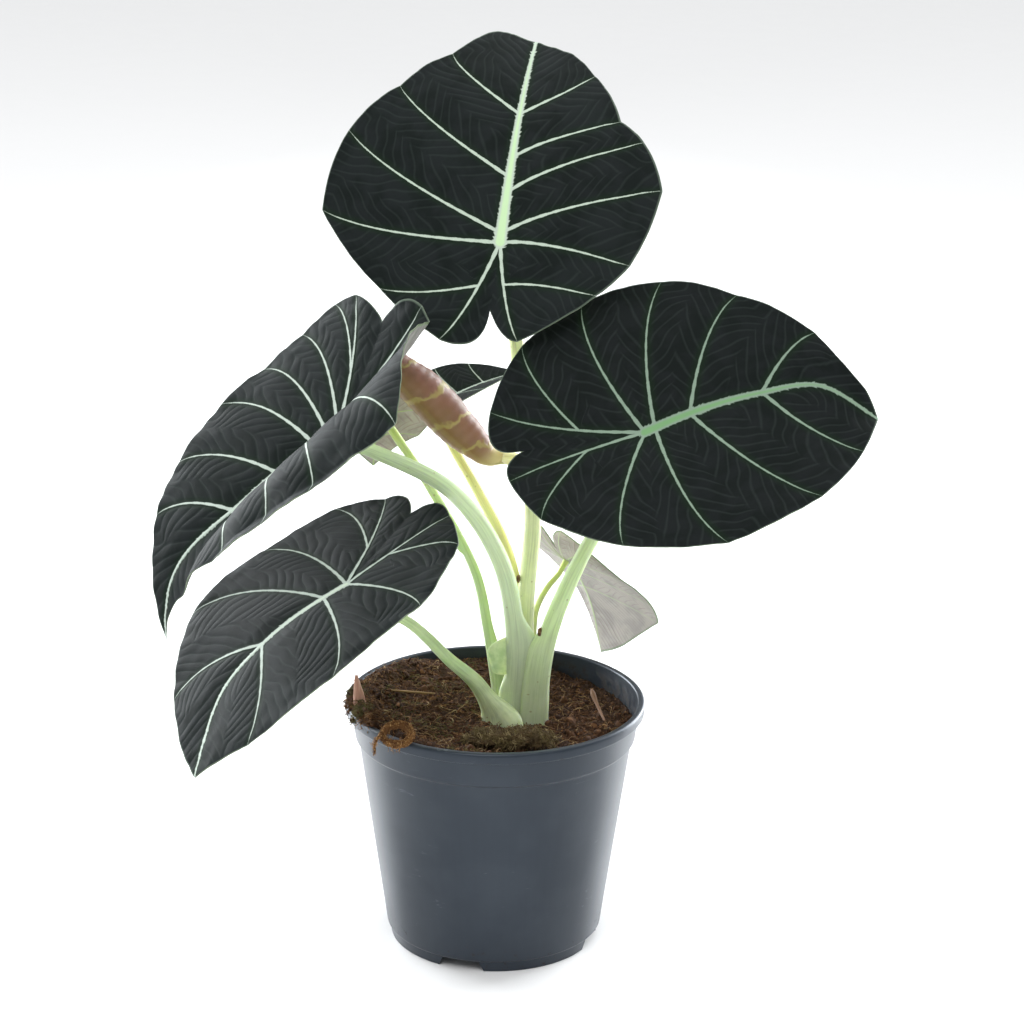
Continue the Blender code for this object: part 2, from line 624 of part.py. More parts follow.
def coir_tuft(collection, finish):
    """A curl of coconut fibre that leans over the rim, as a thick ring with a kink."""
    lift = TUFT_THICK * 1.35 + TUFT_RADIUS * 0.72 * 0.8 * TUFT_TILT + GAP
    centre = Vector((*TUFT_PLACE, POT_HEIGHT + lift))
    verts, faces = [], []
    turns, sides = 18, 8
    for i in range(turns):
        a = 2 * math.pi * i / turns
        thick = TUFT_THICK * (1 + 0.2 * math.sin(3 * a))
        for k in range(sides):
            b = 2 * math.pi * k / sides
            out = TUFT_RADIUS * 0.72 + thick * math.cos(b)
            local = Vector((out * math.cos(a), out * math.sin(a) * 0.8, thick * math.sin(b)))
            local.z += TUFT_TILT * local.y
            verts.append(centre + local)
    for i in range(turns):
        for k in range(sides):
            j, n = (i + 1) % turns, (k + 1) % sides
            faces.append((i * sides + k, j * sides + k, j * sides + n, i * sides + n))
    mesh = mesh_from("coir_tuft", verts, faces)
    tidy_normals(mesh)
    return make_object("coir_tuft", mesh, collection, finish)


def bark_chip(collection, finish):
    """A splinter of bark standing against the rim at the left."""
    place = Vector((-0.0495, -0.0085, 0.0))
    base = mix_top(place.x, place.y) + MIX_BUMP + GAP
    wide, thick, tall = CHIP_SIZE
    rows = [(0.70, 0.0), (1.0, 0.35), (0.86, 0.75), (0.35, 1.0)]
    verts, faces = [], []
    for spread, lift in rows:
        for x, y in ((-1, -1), (1, -1), (1, 1), (-1, 1)):
            verts.append((place.x + x * wide / 2 * spread - 0.0030 * lift,
                          place.y + y * thick / 2 * (0.6 + 0.4 * spread) + 0.0008 * lift,
                          base + tall * lift))
    for k in range(len(rows) - 1):
        for i in range(4):
            j = (i + 1) % 4
            faces.append((k * 4 + i, k * 4 + j, (k + 1) * 4 + j, (k + 1) * 4 + i))
    faces += [(3, 2, 1, 0), tuple(len(rows) * 4 - 4 + i for i in range(4))]
    mesh = mesh_from("bark_chip", verts, faces)
    tidy_normals(mesh)
    return make_object("bark_chip", mesh, collection, finish, smooth=False)


def twig(name, points, collection, finish):
    """A dry twig that lies over the mix, clear of it."""
    lifted = [(x, y, mix_top(x, y) + MIX_BUMP + r + GAP + up, r) for x, y, up, r in points]
    return tube(name, lifted, collection, finish, bevel=1)


def build():
    clear_scene()
    plant = bpy.data.collections.new("potted_alocasia")
    cutters = bpy.data.collections.new("cutters")
    for collection in (plant, cutters):
        bpy.context.scene.collection.children.link(collection)

    grey = material("slate_plastic", (0.060, 0.070, 0.088), 0.42)
    soil = material("peat_mix", (0.050, 0.026, 0.014), 0.95)
    stem = material("crown_skin", (0.42, 0.46, 0.22), 0.55)
    fibre = material("coir_fibre", (0.22, 0.10, 0.03), 0.90)
    bark = material("pine_bark", (0.46, 0.28, 0.20), 0.85)
    dry = material("dry_twig", (0.16, 0.08, 0.04), 0.85)
    moss = material("moss", (0.07, 0.065, 0.02), 0.95)

    pot(plant, grey, cutters)
    potting_mix(plant, soil, cutters)
    crown(plant, stem)
    for which in LEAVES:
        young = which.startswith("back")
        tone = (0.52, 0.62, 0.22) if young else (0.48, 0.58, 0.34)
        stalk(f"stalk_{which}", which, plant, material(f"stalk_skin_{which}", tone, 0.45))
        blade(f"blade_{which}", LEAVES[which], plant,
              material(f"leaf_skin_{which}", (0.012, 0.020, 0.014), 0.62))
    tube("stalk_rolled", ROLLED_STALK, plant, material("stalk_skin_rolled", (0.80, 0.76, 0.42), 0.45))
    tube("blade_rolled", ROLLED_BLADE, plant, material("leaf_skin_rolled", (0.20, 0.08, 0.04), 0.55),
         bevel=4)
    coir_tuft(plant, fibre)
    bark_chip(plant, bark)
    twig("twig", [(0.0440, -0.0040, 0.0006, 0.0005), (0.0425, 0.0030, 0.0014, 0.0006),
                  (0.0405, 0.0100, 0.0036, 0.0007), (0.0392, 0.0150, 0.0060, 0.0006)], plant, dry)
    twig("straw", [(-0.0440, 0.0100, 0.0, 0.0005), (-0.0340, 0.0085, 0.0004, 0.0005),
                   (-0.0245, 0.0100, 0.0, 0.0005)], plant, material("dry_straw", (0.30, 0.19, 0.08), 0.8))
    place = (0.0050, -0.0370)
    lump("moss_clump", (*place, mix_top(*place) + MIX_BUMP + GAP + MOSS_SIZE[2] / 2 + 0.0006), MOSS_SIZE,
         3.1, plant, moss)


build()
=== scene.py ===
import math

import bmesh
import bpy
import numpy as np
from bpy.props import FloatProperty, FloatVectorProperty, IntProperty, PointerProperty
from mathutils import Matrix, Vector
from mathutils.noise import fractal, noise


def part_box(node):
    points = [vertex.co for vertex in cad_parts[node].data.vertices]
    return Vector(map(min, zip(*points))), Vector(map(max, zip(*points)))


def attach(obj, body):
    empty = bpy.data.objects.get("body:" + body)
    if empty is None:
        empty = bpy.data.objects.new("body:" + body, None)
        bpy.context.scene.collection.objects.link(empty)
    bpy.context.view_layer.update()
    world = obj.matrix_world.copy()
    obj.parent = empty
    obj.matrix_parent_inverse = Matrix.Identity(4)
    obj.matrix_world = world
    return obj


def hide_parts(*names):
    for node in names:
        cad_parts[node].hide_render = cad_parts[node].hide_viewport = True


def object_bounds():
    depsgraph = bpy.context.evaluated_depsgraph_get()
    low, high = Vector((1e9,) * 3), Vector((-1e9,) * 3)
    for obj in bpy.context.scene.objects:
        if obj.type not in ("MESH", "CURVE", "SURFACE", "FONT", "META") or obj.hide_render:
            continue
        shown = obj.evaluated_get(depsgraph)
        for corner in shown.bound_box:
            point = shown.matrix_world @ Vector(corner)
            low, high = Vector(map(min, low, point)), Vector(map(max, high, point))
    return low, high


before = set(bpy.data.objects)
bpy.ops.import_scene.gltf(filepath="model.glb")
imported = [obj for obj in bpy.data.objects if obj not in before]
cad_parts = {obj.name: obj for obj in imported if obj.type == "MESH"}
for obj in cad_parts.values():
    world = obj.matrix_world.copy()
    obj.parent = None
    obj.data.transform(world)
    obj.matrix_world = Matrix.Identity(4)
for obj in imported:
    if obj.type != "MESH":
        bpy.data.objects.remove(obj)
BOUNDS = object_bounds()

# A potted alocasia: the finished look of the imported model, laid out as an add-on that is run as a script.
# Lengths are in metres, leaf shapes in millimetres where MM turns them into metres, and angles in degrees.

bl_info = {
    "name": "Potted Alocasia",
    "version": (1, 0, 0),
    "blender": (4, 5, 0),
    "location": "3D View > Sidebar > Alocasia",
    "description": "Builds the leaves, stalks, pot and potting mix of a potted alocasia",
    "category": "Add Mesh",
}

MM = 0.001
BODY = "root"


# ---- settings ----

def colour_setting(name, description, default):
    return FloatVectorProperty(name=name, description=description, default=default, size=3, min=0.0,
                               max=1.0, subtype="COLOR")


def length_setting(name, description, default):
    return FloatProperty(name=name, description=description, default=default, min=0.0, unit="LENGTH",
                         precision=5)


class LeafSettings(bpy.types.PropertyGroup):
    blade_dark: colour_setting("Dark blade", "Darkest green of the upper face", (0.0045, 0.0075, 0.0066))
    blade_light: colour_setting("Light blade", "Palest slate green of the upper face",
                                (0.0105, 0.0145, 0.0140))
    vein: colour_setting("Side veins", "Silvery colour of the side veins", (0.58, 0.69, 0.57))
    midrib: colour_setting("Midrib", "Colour of the midrib on the large pale leaf", (0.52, 0.72, 0.42))
    pleat_depth: length_setting("Pleat depth", "Height of the quilting between side veins", 0.00018)
    pleat_pitch: length_setting("Pleat spacing", "Distance between pleats along a side vein", 0.0058)
    thickness: length_setting("Thickness", "Thickness of a blade between its ribs", 0.00055)


class StalkSettings(bpy.types.PropertyGroup):
    low: colour_setting("Base", "Colour near the potting mix", (0.50, 0.56, 0.38))
    middle: colour_setting("Middle", "Colour half way up", (0.60, 0.78, 0.38))
    high: colour_setting("Top", "Colour below the blade", (0.68, 0.82, 0.42))
    buried: length_setting("Buried length", "How far a stalk reaches below the crown's top", 0.0045)


class PotSettings(bpy.types.PropertyGroup):
    plastic: colour_setting("Plastic", "Slate colour of the pot", (0.017, 0.022, 0.031))
    steps: IntProperty(name="Steps", description="Faces round the wall", default=160, min=24, max=256)


class MixSettings(bpy.types.PropertyGroup):
    dark: colour_setting("Peat", "Dark brown of moist peat", (0.040, 0.020, 0.011))
    light: colour_setting("Fibre", "Light brown of coconut fibre", (0.24, 0.125, 0.052))
    lump: length_setting("Lump height", "Height of the lumps in the mix", 0.0019)
    fibres: IntProperty(name="Fibres", description="Loose fibres per square decimetre", default=1250, min=0)
    crumbs: IntProperty(name="Crumbs", description="Crumbs of peat per square decimetre", default=1500, min=0)
    seed: IntProperty(name="Seed", description="Start of the scatter", default=7, min=0)


class StageSettings(bpy.types.PropertyGroup):
    floor: colour_setting("Floor", "Pale colour of the floor", (0.92, 0.92, 0.92))
    sky: FloatProperty(name="Studio fill", description="Brightness of the white surroundings", default=0.52,
                       min=0.0)
    top: FloatProperty(name="Overhead light", description="Power of the wide soft light overhead",
                       default=165.0, min=0.0, unit="POWER")
    rim: FloatProperty(name="Rim lights", description="Power of each soft light behind the plant",
                       default=32.0, min=0.0, unit="POWER")
    key: FloatProperty(name="Key light", description="Power of the soft light in front, above", default=7.0,
                       min=0.0, unit="POWER")


SETTINGS = {"leaf": LeafSettings, "stalk": StalkSettings, "pot": PotSettings, "mix": MixSettings,
            "stage": StageSettings}


def settings(which):
    """The settings of one part of the plant."""
    return getattr(bpy.context.scene, f"alocasia_{which}")


# ---- node trees ----

class Nodes:
    """Short calls for a node tree. A value is a number, a tuple or another node's output."""

    def __init__(self, tree):
        self.tree = tree

    def put(self, socket, value):
        if isinstance(value, bpy.types.NodeSocket):
            self.tree.links.new(value, socket)
            return
        if socket.type == "RGBA" and len(value) == 3:
            value = (*value, 1.0)
        socket.default_value = value

    def node(self, kind, values=None, **choices):
        node = self.tree.nodes.new(kind)
        for key, value in choices.items():
            setattr(node, key, value)
        for key, value in (values or {}).items():
            self.put(node.inputs[key], value)
        return node

    def math(self, operation, a, b=0.0):
        return self.node("ShaderNodeMath", {0: a, 1: b}, operation=operation).outputs[0]

    def add(self, *values):
        total = values[0]
        for value in values[1:]:
            total = self.math("ADD", total, value)
        return total

    def times(self, *values):
        total = values[0]
        for value in values[1:]:
            total = self.math("MULTIPLY", total, value)
        return total

    def apart(self, a, b):
        """How far two values are from each other."""
        return self.math("ABSOLUTE", self.math("SUBTRACT", a, b))

    def vector(self, operation, a, b=(0.0, 0.0, 0.0)):
        return self.node("ShaderNodeVectorMath", {0: a, 1: b}, operation=operation).outputs[0]

    def mix(self, share, a, b):
        return self.node("ShaderNodeMix", {0: share, 6: a, 7: b}, data_type="RGBA").outputs[2]

    def blend(self, share, a, b):
        return self.node("ShaderNodeMix", {0: share, 2: a, 3: b}, data_type="FLOAT").outputs[0]

    def smooth(self, value, low, high, to_low=0.0, to_high=1.0):
        return self.node("ShaderNodeMapRange", {0: value, 1: low, 2: high, 3: to_low, 4: to_high},
                         interpolation_type="SMOOTHSTEP").outputs[0]

    def noise(self, place, scale, detail=3.0, rough=0.5, bend=0.0):
        values = {"Vector": place, "Scale": scale, "Detail": detail, "Roughness": rough, "Distortion": bend}
        return self.node("ShaderNodeTexNoise", values).outputs[0]

    def cells(self, place, scale):
        return self.node("ShaderNodeTexVoronoi", {"Vector": place, "Scale": scale}).outputs[0]

    def split(self, value):
        return self.node("ShaderNodeSeparateXYZ", {0: value}).outputs

    def join(self, x, y, z):
        return self.node("ShaderNodeCombineXYZ", {0: x, 1: y, 2: z}).outputs[0]

    def attribute(self, name, output="Vector"):
        return self.node("ShaderNodeAttribute", attribute_name=name).outputs[output]

    def place(self):
        return self.node("ShaderNodeTexCoord").outputs["Object"]

    def bump(self, height, distance, strength):
        values = {"Height": height, "Distance": distance, "Strength": strength}
        return self.node("ShaderNodeBump", values).outputs[0]

    def use(self, tree, values):
        node = self.node("ShaderNodeGroup", node_tree=tree)
        for key, value in values.items():
            self.put(node.inputs[key], value)
        return node.outputs

    def grain(self, place, grain, blotch):
        return self.use(grain_group(), {"Place": place, "Grain": grain, "Blotch": blotch})


def shared_group(name, inputs, outputs, fill):
    """A shader node group, built once. inputs: name -> default; outputs: names; fill returns their values."""
    tree = bpy.data.node_groups.get(name)
    if tree:
        return tree
    tree = bpy.data.node_groups.new(name, "ShaderNodeTree")
    kinds = {float: "NodeSocketFloat", tuple: "NodeSocketVector"}
    for label, default in inputs.items():
        socket = tree.interface.new_socket(label, in_out="INPUT", socket_type=kinds[type(default)])
        socket.default_value = default
    for label in outputs:
        tree.interface.new_socket(label, in_out="OUTPUT", socket_type="NodeSocketFloat")
    nodes = Nodes(tree)
    given = nodes.node("NodeGroupInput").outputs
    result = nodes.node("NodeGroupOutput")
    for label, value in zip(outputs, fill(nodes, given)):
        nodes.put(result.inputs[label], value)
    return tree


def vein_group():
    """Masks of the side veins, the midrib and the greener tissue beside them."""
    def fill(nodes, given):
        side, rib, _ = nodes.split(given["Veins"])
        u, v, _ = nodes.split(given["Plan"])
        ragged = nodes.noise(given["Plan"], 1.5, 2.0)
        fine = nodes.times(nodes.math("SUBTRACT", ragged, 0.5), 0.42)
        lateral = nodes.smooth(nodes.add(side, fine), 0.20, -0.14)
        out = nodes.math("ABSOLUTE", rib)
        slanted = nodes.math("SUBTRACT", v, nodes.times(out, 0.8))
        spur = nodes.noise(nodes.join(nodes.times(slanted, 0.95),
                                      nodes.times(u, 0.10), 0.0), 1.0, 2.0)
        spur = nodes.times(nodes.smooth(spur, 0.46, 0.72), given["Feather"])
        midrib = nodes.smooth(nodes.math("SUBTRACT", nodes.add(rib, fine), spur), 0.30, -0.22)
        near = nodes.math("MINIMUM", side, rib)
        return lateral, midrib, nodes.smooth(near, 3.4, 0.1)
    return shared_group("Leaf veins", {"Veins": (0.0, 0.0, 0.0), "Plan": (0.0, 0.0, 0.0), "Feather": 1.0},
                        ("Lateral", "Midrib", "Beside"), fill)


def pleat_group():
    """Height of the quilting between side veins, and the thin lines where two pleats meet."""
    def fill(nodes, given):
        one, two, seam = nodes.split(given["Pleats"])
        side, rib, _ = nodes.split(given["Veins"])
        crests, lines = [], []
        for phase in (one, two):
            across = nodes.apart(nodes.times(nodes.math("FRACT", phase), 2.0), 1.0)
            crests.append(nodes.math("SUBTRACT", 1.0, nodes.math("POWER", across, 2.2)))
            lines.append(nodes.smooth(across, 0.62, 1.0))
        share = nodes.smooth(seam, -2.5, 2.5)
        fade = nodes.smooth(nodes.math("MINIMUM", side, rib), 0.3, 2.2)
        return (nodes.times(nodes.blend(share, *crests), fade),
                nodes.times(nodes.blend(share, *lines), fade))
    return shared_group("Leaf pleats", {"Pleats": (0.0, 0.0, 0.0), "Veins": (0.0, 0.0, 0.0)},
                        ("Height", "Line"), fill)


def grain_group():
    """Fine grain and larger blotches, for skin, plastic and bark alike."""
    def fill(nodes, given):
        grain = nodes.noise(given["Place"], given["Grain"], 3.0, 0.6)
        blotch = nodes.smooth(nodes.noise(given["Place"], given["Blotch"], 3.0, 0.55), 0.38, 0.64)
        return grain, blotch
    return shared_group("Grain and blotches", {"Place": (0.0, 0.0, 0.0), "Grain": 900.0, "Blotch": 60.0},
                        ("Grain", "Blotch"), fill)


def skin_values(nodes, colour, grain, rough, height, bump):
    """A shader's linked values: colour, roughness between two values by the grain, normals by a height."""
    return {"Base Color": colour, "Roughness": nodes.blend(grain, *rough),
            "Normal": nodes.bump(height, *bump)}


def mottled_skin(name, tones, grain, blotch, rough, bump, plan=False, **constants):
    """A plain skin: two tones in blotches and a fine grain. With plan it lies on a blade's flat pattern."""
    def recipe(nodes):
        marks = nodes.grain(nodes.attribute("plan") if plan else nodes.place(), grain, blotch)
        colour = nodes.mix(marks["Blotch"], *tones)
        return skin_values(nodes, colour, marks["Grain"], rough, marks["Grain"], bump)
    return finish_of(name, recipe, **constants)


def finish_of(name, recipe, **constants):
    """A material with one Principled shader: constants go on its sockets, recipe returns the linked ones."""
    made = bpy.data.materials.get(name)
    if made:
        return made
    made = bpy.data.materials.new(name)
    made.use_nodes = True
    nodes = Nodes(made.node_tree)
    shader = made.node_tree.nodes["Principled BSDF"]
    for key, value in constants.items():
        nodes.put(shader.inputs[key.replace("_", " ")], value)
    for key, value in recipe(nodes).items():
        nodes.put(shader.inputs[key], value)
    return made


# ---- meshes ----

def in_scene(name, data):
    """A new object, linked to the scene."""
    obj = bpy.data.objects.new(name, data)
    bpy.context.scene.collection.objects.link(obj)
    return obj


def plain_mesh(obj, name):
    """What an object's modifiers make of it, as a plain mesh. The object itself is removed."""
    mesh = bpy.data.meshes.new_from_object(obj.evaluated_get(bpy.context.evaluated_depsgraph_get()))
    mesh.name = name
    bpy.data.objects.remove(obj, do_unlink=True)
    return mesh


def baked(name, mesh, modifiers):
    """The mesh with modifiers applied, each given as its kind and its settings."""
    obj = in_scene(name + "_work", mesh)
    for kind, choices in modifiers:
        step = obj.modifiers.new(kind.title(), kind)
        for key, value in choices.items():
            setattr(step, key, value)
    return plain_mesh(obj, name)


def new_mesh(name, verts, faces, edges=()):
    """A mesh from points and the faces or edges between them."""
    mesh = bpy.data.meshes.new(name)
    mesh.from_pydata(np.asarray(verts, dtype=float).tolist(), list(edges), faces)
    return mesh


def reworked(mesh, change):
    """The mesh after change(work) has edited it as a bmesh."""
    work = bmesh.new()
    work.from_mesh(mesh)
    change(work)
    work.to_mesh(mesh)
    work.free()
    return mesh


def face_outwards(work):
    """Turns every face of a bmesh outwards."""
    bmesh.ops.recalc_face_normals(work, faces=work.faces)


def middle_of(node):
    """The middle of a CAD node's box."""
    return [(a + b) / 2 for a, b in zip(*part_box(node))]


def add_piece(name, mesh, materials, replaces=(), smooth=True):
    """Puts a finished mesh in the scene as a piece of the plant."""
    obj = in_scene(name, mesh)
    indices = [min(poly.material_index, len(materials) - 1) for poly in mesh.polygons]
    mesh.materials.clear()
    for made in materials:
        mesh.materials.append(made)
    mesh.polygons.foreach_set("material_index", indices)
    if smooth:
        mesh.polygons.foreach_set("use_smooth", [True] * len(mesh.polygons))
    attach(obj, BODY)
    if replaces:
        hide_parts(*replaces)
    return obj


def smooth_path(points, parts):
    """A smooth path through points, parts pieces between each two; a point may carry a radius as well."""
    first = [2 * a - b for a, b in zip(points[0], points[1])]
    last = [2 * a - b for a, b in zip(points[-1], points[-2])]
    knots = [first, *points, last]
    gaps = [math.sqrt(math.dist(a, b)) for a, b in zip(knots, knots[1:])]
    path = []
    for i in range(1, len(knots) - 2):
        before, here, after = gaps[i - 1:i + 2]
        for k in range(parts):
            t = k / parts
            point = []
            for p, q, r, s in zip(*knots[i - 1:i + 3]):
                leave = here * ((q - p) / before - (r - p) / (before + here)) + r - q
                arrive = here * ((s - r) / after - (s - q) / (here + after)) + r - q
                point.append(q + leave * t + (3 * (r - q) - 2 * leave - arrive) * t ** 2
                             + (2 * (q - r) + leave + arrive) * t ** 3)
            path.append(point)
    path.append(list(points[-1]))
    return path


def store(mesh, name, values, kind="FLOAT_VECTOR", domain="POINT"):
    """Stores a vector or a value for each point or face corner."""
    layer = mesh.attributes.new(name, kind, domain)
    layer.data.foreach_set("value" if kind == "FLOAT" else "vector", np.asarray(values, np.float32).ravel())


def grid_faces(rows, columns, start=0, ring=True, ring_rows=False):
    """Faces between rows of points. ring closes each row, ring_rows joins the last row to the first."""
    faces = []
    for k in range(rows if ring_rows else rows - 1):
        here, there = start + k * columns, start + (k + 1) % rows * columns
        for i in range(columns if ring else columns - 1):
            j = (i + 1) % columns
            faces.append((here + i, here + j, there + j, there + i))
    return faces


def ring_tube(rings, name):
    """A closed skin over rings of points, each ring an array of equal length, with its ends capped."""
    count, sides = len(rings), len(rings[0])
    faces = grid_faces(count, sides)
    for k in (0, count - 1):
        for i in range(sides):
            pair = (k * sides + i, k * sides + (i + 1) % sides)
            faces.append((*pair, count * sides + 1) if k else (*pair[::-1], count * sides))
    ends = [rings[0].mean(axis=0)], [rings[-1].mean(axis=0)]
    return new_mesh(name, np.concatenate([*rings, *ends]), faces)


def along_path(points, parts, across):
    """Places along a smooth path of (x, y, z, radius), each with its radius, its two ways across the path
    and its distance from the start."""
    path = np.array(smooth_path(points, parts))
    places, radii = path[:, :3], path[:, 3]
    tangents = np.gradient(places, axis=0)
    tangents /= np.linalg.norm(tangents, axis=1, keepdims=True)
    run = np.concatenate([[0.0], np.cumsum(np.linalg.norm(np.diff(places, axis=0), axis=1))])
    across = np.array(across)
    for place, tangent, radius, distance in zip(places, tangents, radii, run):
        across = across - tangent * (across @ tangent)
        across /= np.linalg.norm(across)
        yield place, radius, (across, np.cross(tangent, across)), distance


def ring_at(place, ways, angles, reach):
    """A ring of points round a place, at each angle as far out as reach says."""
    return place + reach[:, None] * (np.cos(angles)[:, None] * ways[0] + np.sin(angles)[:, None] * ways[1])


# ---- leaves ----

def leaf(**sizes):
    """A leaf's driving sizes, with what it doesn't name taken from here."""
    usual = dict(fold=(0.2, 0.2), crest=(0.0, 0.0), droop_power=2.0, midrib=[], scale=1.0, relief=1.0,
                 bow=(0.12, 0.12), puff=0.9, ruffle=0.7)
    return {**usual, **sizes}


def young_leaf(**sizes):
    """A small leaf, flatter and more finely quilted."""
    return leaf(scale=0.6, relief=0.5, puff=0.3, ruffle=0.3, **sizes)


LEAVES = {
    # junction in metres; heading, pitch and roll in degrees; the rest in millimetres
    "top": leaf(
        seed=1.0, rib=2.5, vein=0.90, bow=(-0.08, 0.12),
        at=(0.0002, 0.0260, 0.2821), heading=82, pitch=52, roll=3, width=62, droop=32, droop_power=2.6,
        lift=2, tip=(3, 105), notch=(-1, -30), tip_side=((20, 94), (-14, 110)),
        right=[(60, 30, 81), (38, 43, 55), (22, 53, 45), (4, 62, 23), (0, 52, -10), ("rib", 40, -23),
               (0, 11, -43)],
        left=[(60, -29, 89), (29, -47, 67), (4, -64, 42), (0, -70, 5), ("rib", -44, -26), (0, -19, -45)],
        lobe_side=((5, -40), (-6, -44))),
    "right": leaf(
        seed=2.3, rib=2.2, vein=0.85, relief=0.5, bow=(0.14, 0.15),
        at=(0.0562, -0.0300, 0.2219), heading=-6, pitch=14, roll=42, width=58, fold=(0.16, 0.16), droop=20,
        lift=6, midrib=[(-12, 68), (-10, 45), (-5, 19)], tip=(2, 87), notch=(-1, -46),
        tip_side=((12, 83), (-10, 84)),
        right=[(46, 18, 80), (18, 39, 63), (4, 57, 27), (0, 51, -12), ("rib", 33, -42), (0, 14, -53)],
        left=[(46, -35, 69), (18, -53, 42), (4, -63, 14), (0, -60, -18), ("rib", -45, -43), (0, -18, -58)],
        lobe_side=((5, -53), (-3, -58))),
    "left_upper": leaf(
        seed=3.1, rib=1.3, vein=0.85, ruffle=0.9, relief=0.5, bow=(0.18, 0.18),
        at=(-0.0612, -0.0300, 0.2218), heading=203, pitch=-36, roll=0, width=56, fold=(0.36, 0.42),
        droop=26, droop_power=5, lift=12, midrib=[(10, 82), (5, 50), (4, 20)], tip=(7, 101),
        notch=(21, -42), crest=(9.0, 0), tip_side=((21, 88), (3, 88)),
        right=[(50, 34, 72), (28, 45, 52), (10, 55, 24), (4, 56, 2), (0, 54, -18), ("rib", 51, -35),
               (0, 43, -43)],
        left=[(50, -25, 66), (28, -39, 48), (12, -49, 27), (0, -57, -12), ("rib", -26, -38), (0, 7, -56)],
        lobe_side=((32, -44), (17, -53))),
    "left_lower": leaf(
        seed=4.7, rib=1.5, vein=0.80, relief=0.5, bow=(0.20, 0.18),
        at=(-0.0572, -0.0450, 0.1647), heading=212, pitch=-24, roll=0, width=55, fold=(0.0, 0.0), droop=34,
        lift=4, midrib=[(12, 60), (9, 38), (2, 10)], tip=(1, 87), notch=(14, -41),
        tip_side=((17, 82), (-10, 78)),
        right=[(38, 38, 71), (10, 61, 43), (0, 57, 6), ("rib", 51, -26), (0, 34, -41)],
        left=[(38, -21, 69), (10, -42, 34), (0, -44, -8), ("rib", -25, -39), (0, -5, -48)],
        lobe_side=((25, -46), (7, -50))),
    "back_left": young_leaf(
        seed=5.2, rib=0.8, vein=0.40,
        at=(-0.0474, 0.0160, 0.2208), heading=100, pitch=-58, roll=0, width=25, droop=4, lift=3,
        tip=(0, 36), notch=(0, -9), tip_side=((9, 28), (-9, 28)),
        right=[(20, 18, 24), (9, 25, 12), (0, 25, -1), (0, 17, -12), (0, 7, -17)],
        left=[(20, -18, 24), (9, -25, 12), (0, -25, -1), (0, -17, -12), (0, -7, -17)],
        lobe_side=((2, -15), (-2, -15))),
    "back_right": young_leaf(
        seed=6.4, rib=0.9, vein=0.40,
        at=(0.0287, 0.0450, 0.1444), heading=42, pitch=-40, roll=0, width=34, fold=(0.10, -0.05), droop=20,
        lift=3, tip=(-14, 60), notch=(0, -10), tip_side=((4, 51), (-14, 46)),
        right=[(22, 36, 28), (9, 40, 15), (0, 36, -2), (0, 24, -14), (0, 9, -20)],
        left=[(22, -14, 27), (9, -19, 13), (0, -20, -1), (0, -17, -15), (0, -9, -21)],
        lobe_side=((3, -17), (-3, -17))),
    "back_curved": young_leaf(
        seed=7.9, rib=0.7, vein=0.35,
        at=(-0.0252, 0.0480, 0.2092), heading=36, pitch=20, roll=0, width=20, fold=(0.50, 0.50), droop=8,
        lift=2, tip=(0, 43), notch=(0, -10), tip_side=((7, 35), (-7, 35)),
        right=[(24, 13, 27), (11, 18, 14), (0, 18, 0), (0, 13, -12), (0, 6, -17)],
        left=[(24, -13, 27), (11, -18, 14), (0, -18, 0), (0, -13, -12), (0, -6, -17)],
        lobe_side=((2, -15), (-2, -15))),
}


NOTCH_FORK = 1 / 3  # where a forked rib divides, as a part of its length
APEX_ROUND = 1.3  # 2 is a round shoulder beside the tip, 1 a corner
EDGE_BULGE = 0.045  # how far the margin swells between two side veins, as a part of their distance
ALONG = 54  # faces along each side vein
ACROSS = 0.95  # width of a face at the margin, in mm
CREASE = 2.5  # rounding of the fold along the middle, in mm


def leaf_axes(sizes):
    """Unit vectors of a leaf: along the midrib to the tip, to its right, and out of its upper face."""
    heading, pitch, roll = (math.radians(sizes[key]) for key in ("heading", "pitch", "roll"))
    along = Vector((math.cos(heading) * math.cos(pitch), math.sin(heading) * math.cos(pitch),
                    math.sin(pitch)))
    side = Vector((math.sin(heading), -math.cos(heading), 0.0))
    up = side.cross(along)
    return [np.array(axis) for axis in (along, side * math.cos(roll) - up * math.sin(roll),
                                        side * math.sin(roll) + up * math.cos(roll))]


def leaf_height(sizes, u, v):
    """How far the surface stands above the leaf's plane, in millimetres, for arrays of u and v."""
    out = np.sqrt(u * u + CREASE ** 2) - CREASE
    fold, crest = (np.where(u >= 0, sizes[key][1], sizes[key][0]) for key in ("fold", "crest"))
    share = np.minimum(np.abs(u) / sizes["width"], 1.0)
    ahead = np.maximum(v, 0.0) / sizes["tip"][1]
    behind = np.minimum(v, 0.0) / sizes["notch"][1]
    taper = np.maximum(1 - ahead ** 1.2, 0.15)  # of the crest's breadth and height towards the tip
    hump = np.sin(math.pi * np.minimum(np.abs(u) / (sizes["width"] * taper), 1.0)) * taper
    return (fold * out * (1 - 0.35 * share) + crest * hump - sizes["droop"] * ahead ** sizes["droop_power"]
            + sizes["lift"] * behind ** 2 / 2)


def leaf_surface(sizes, u, v):
    """Points of a leaf's surface and its normals there."""
    along, side, up = leaf_axes(sizes)
    step = 0.05
    height = leaf_height(sizes, u, v)
    slope_u = (leaf_height(sizes, u + step, v) - leaf_height(sizes, u - step, v)) / (2 * step)
    slope_v = (leaf_height(sizes, u, v + step) - leaf_height(sizes, u, v - step)) / (2 * step)
    points = np.array(sizes["at"]) + MM * (u[:, None] * side + v[:, None] * along + height[:, None] * up)
    normals = up - slope_u[:, None] * side - slope_v[:, None] * along
    return points, normals / np.linalg.norm(normals, axis=1, keepdims=True)


VEIN_BEND = 0.70  # where along its length it bends most


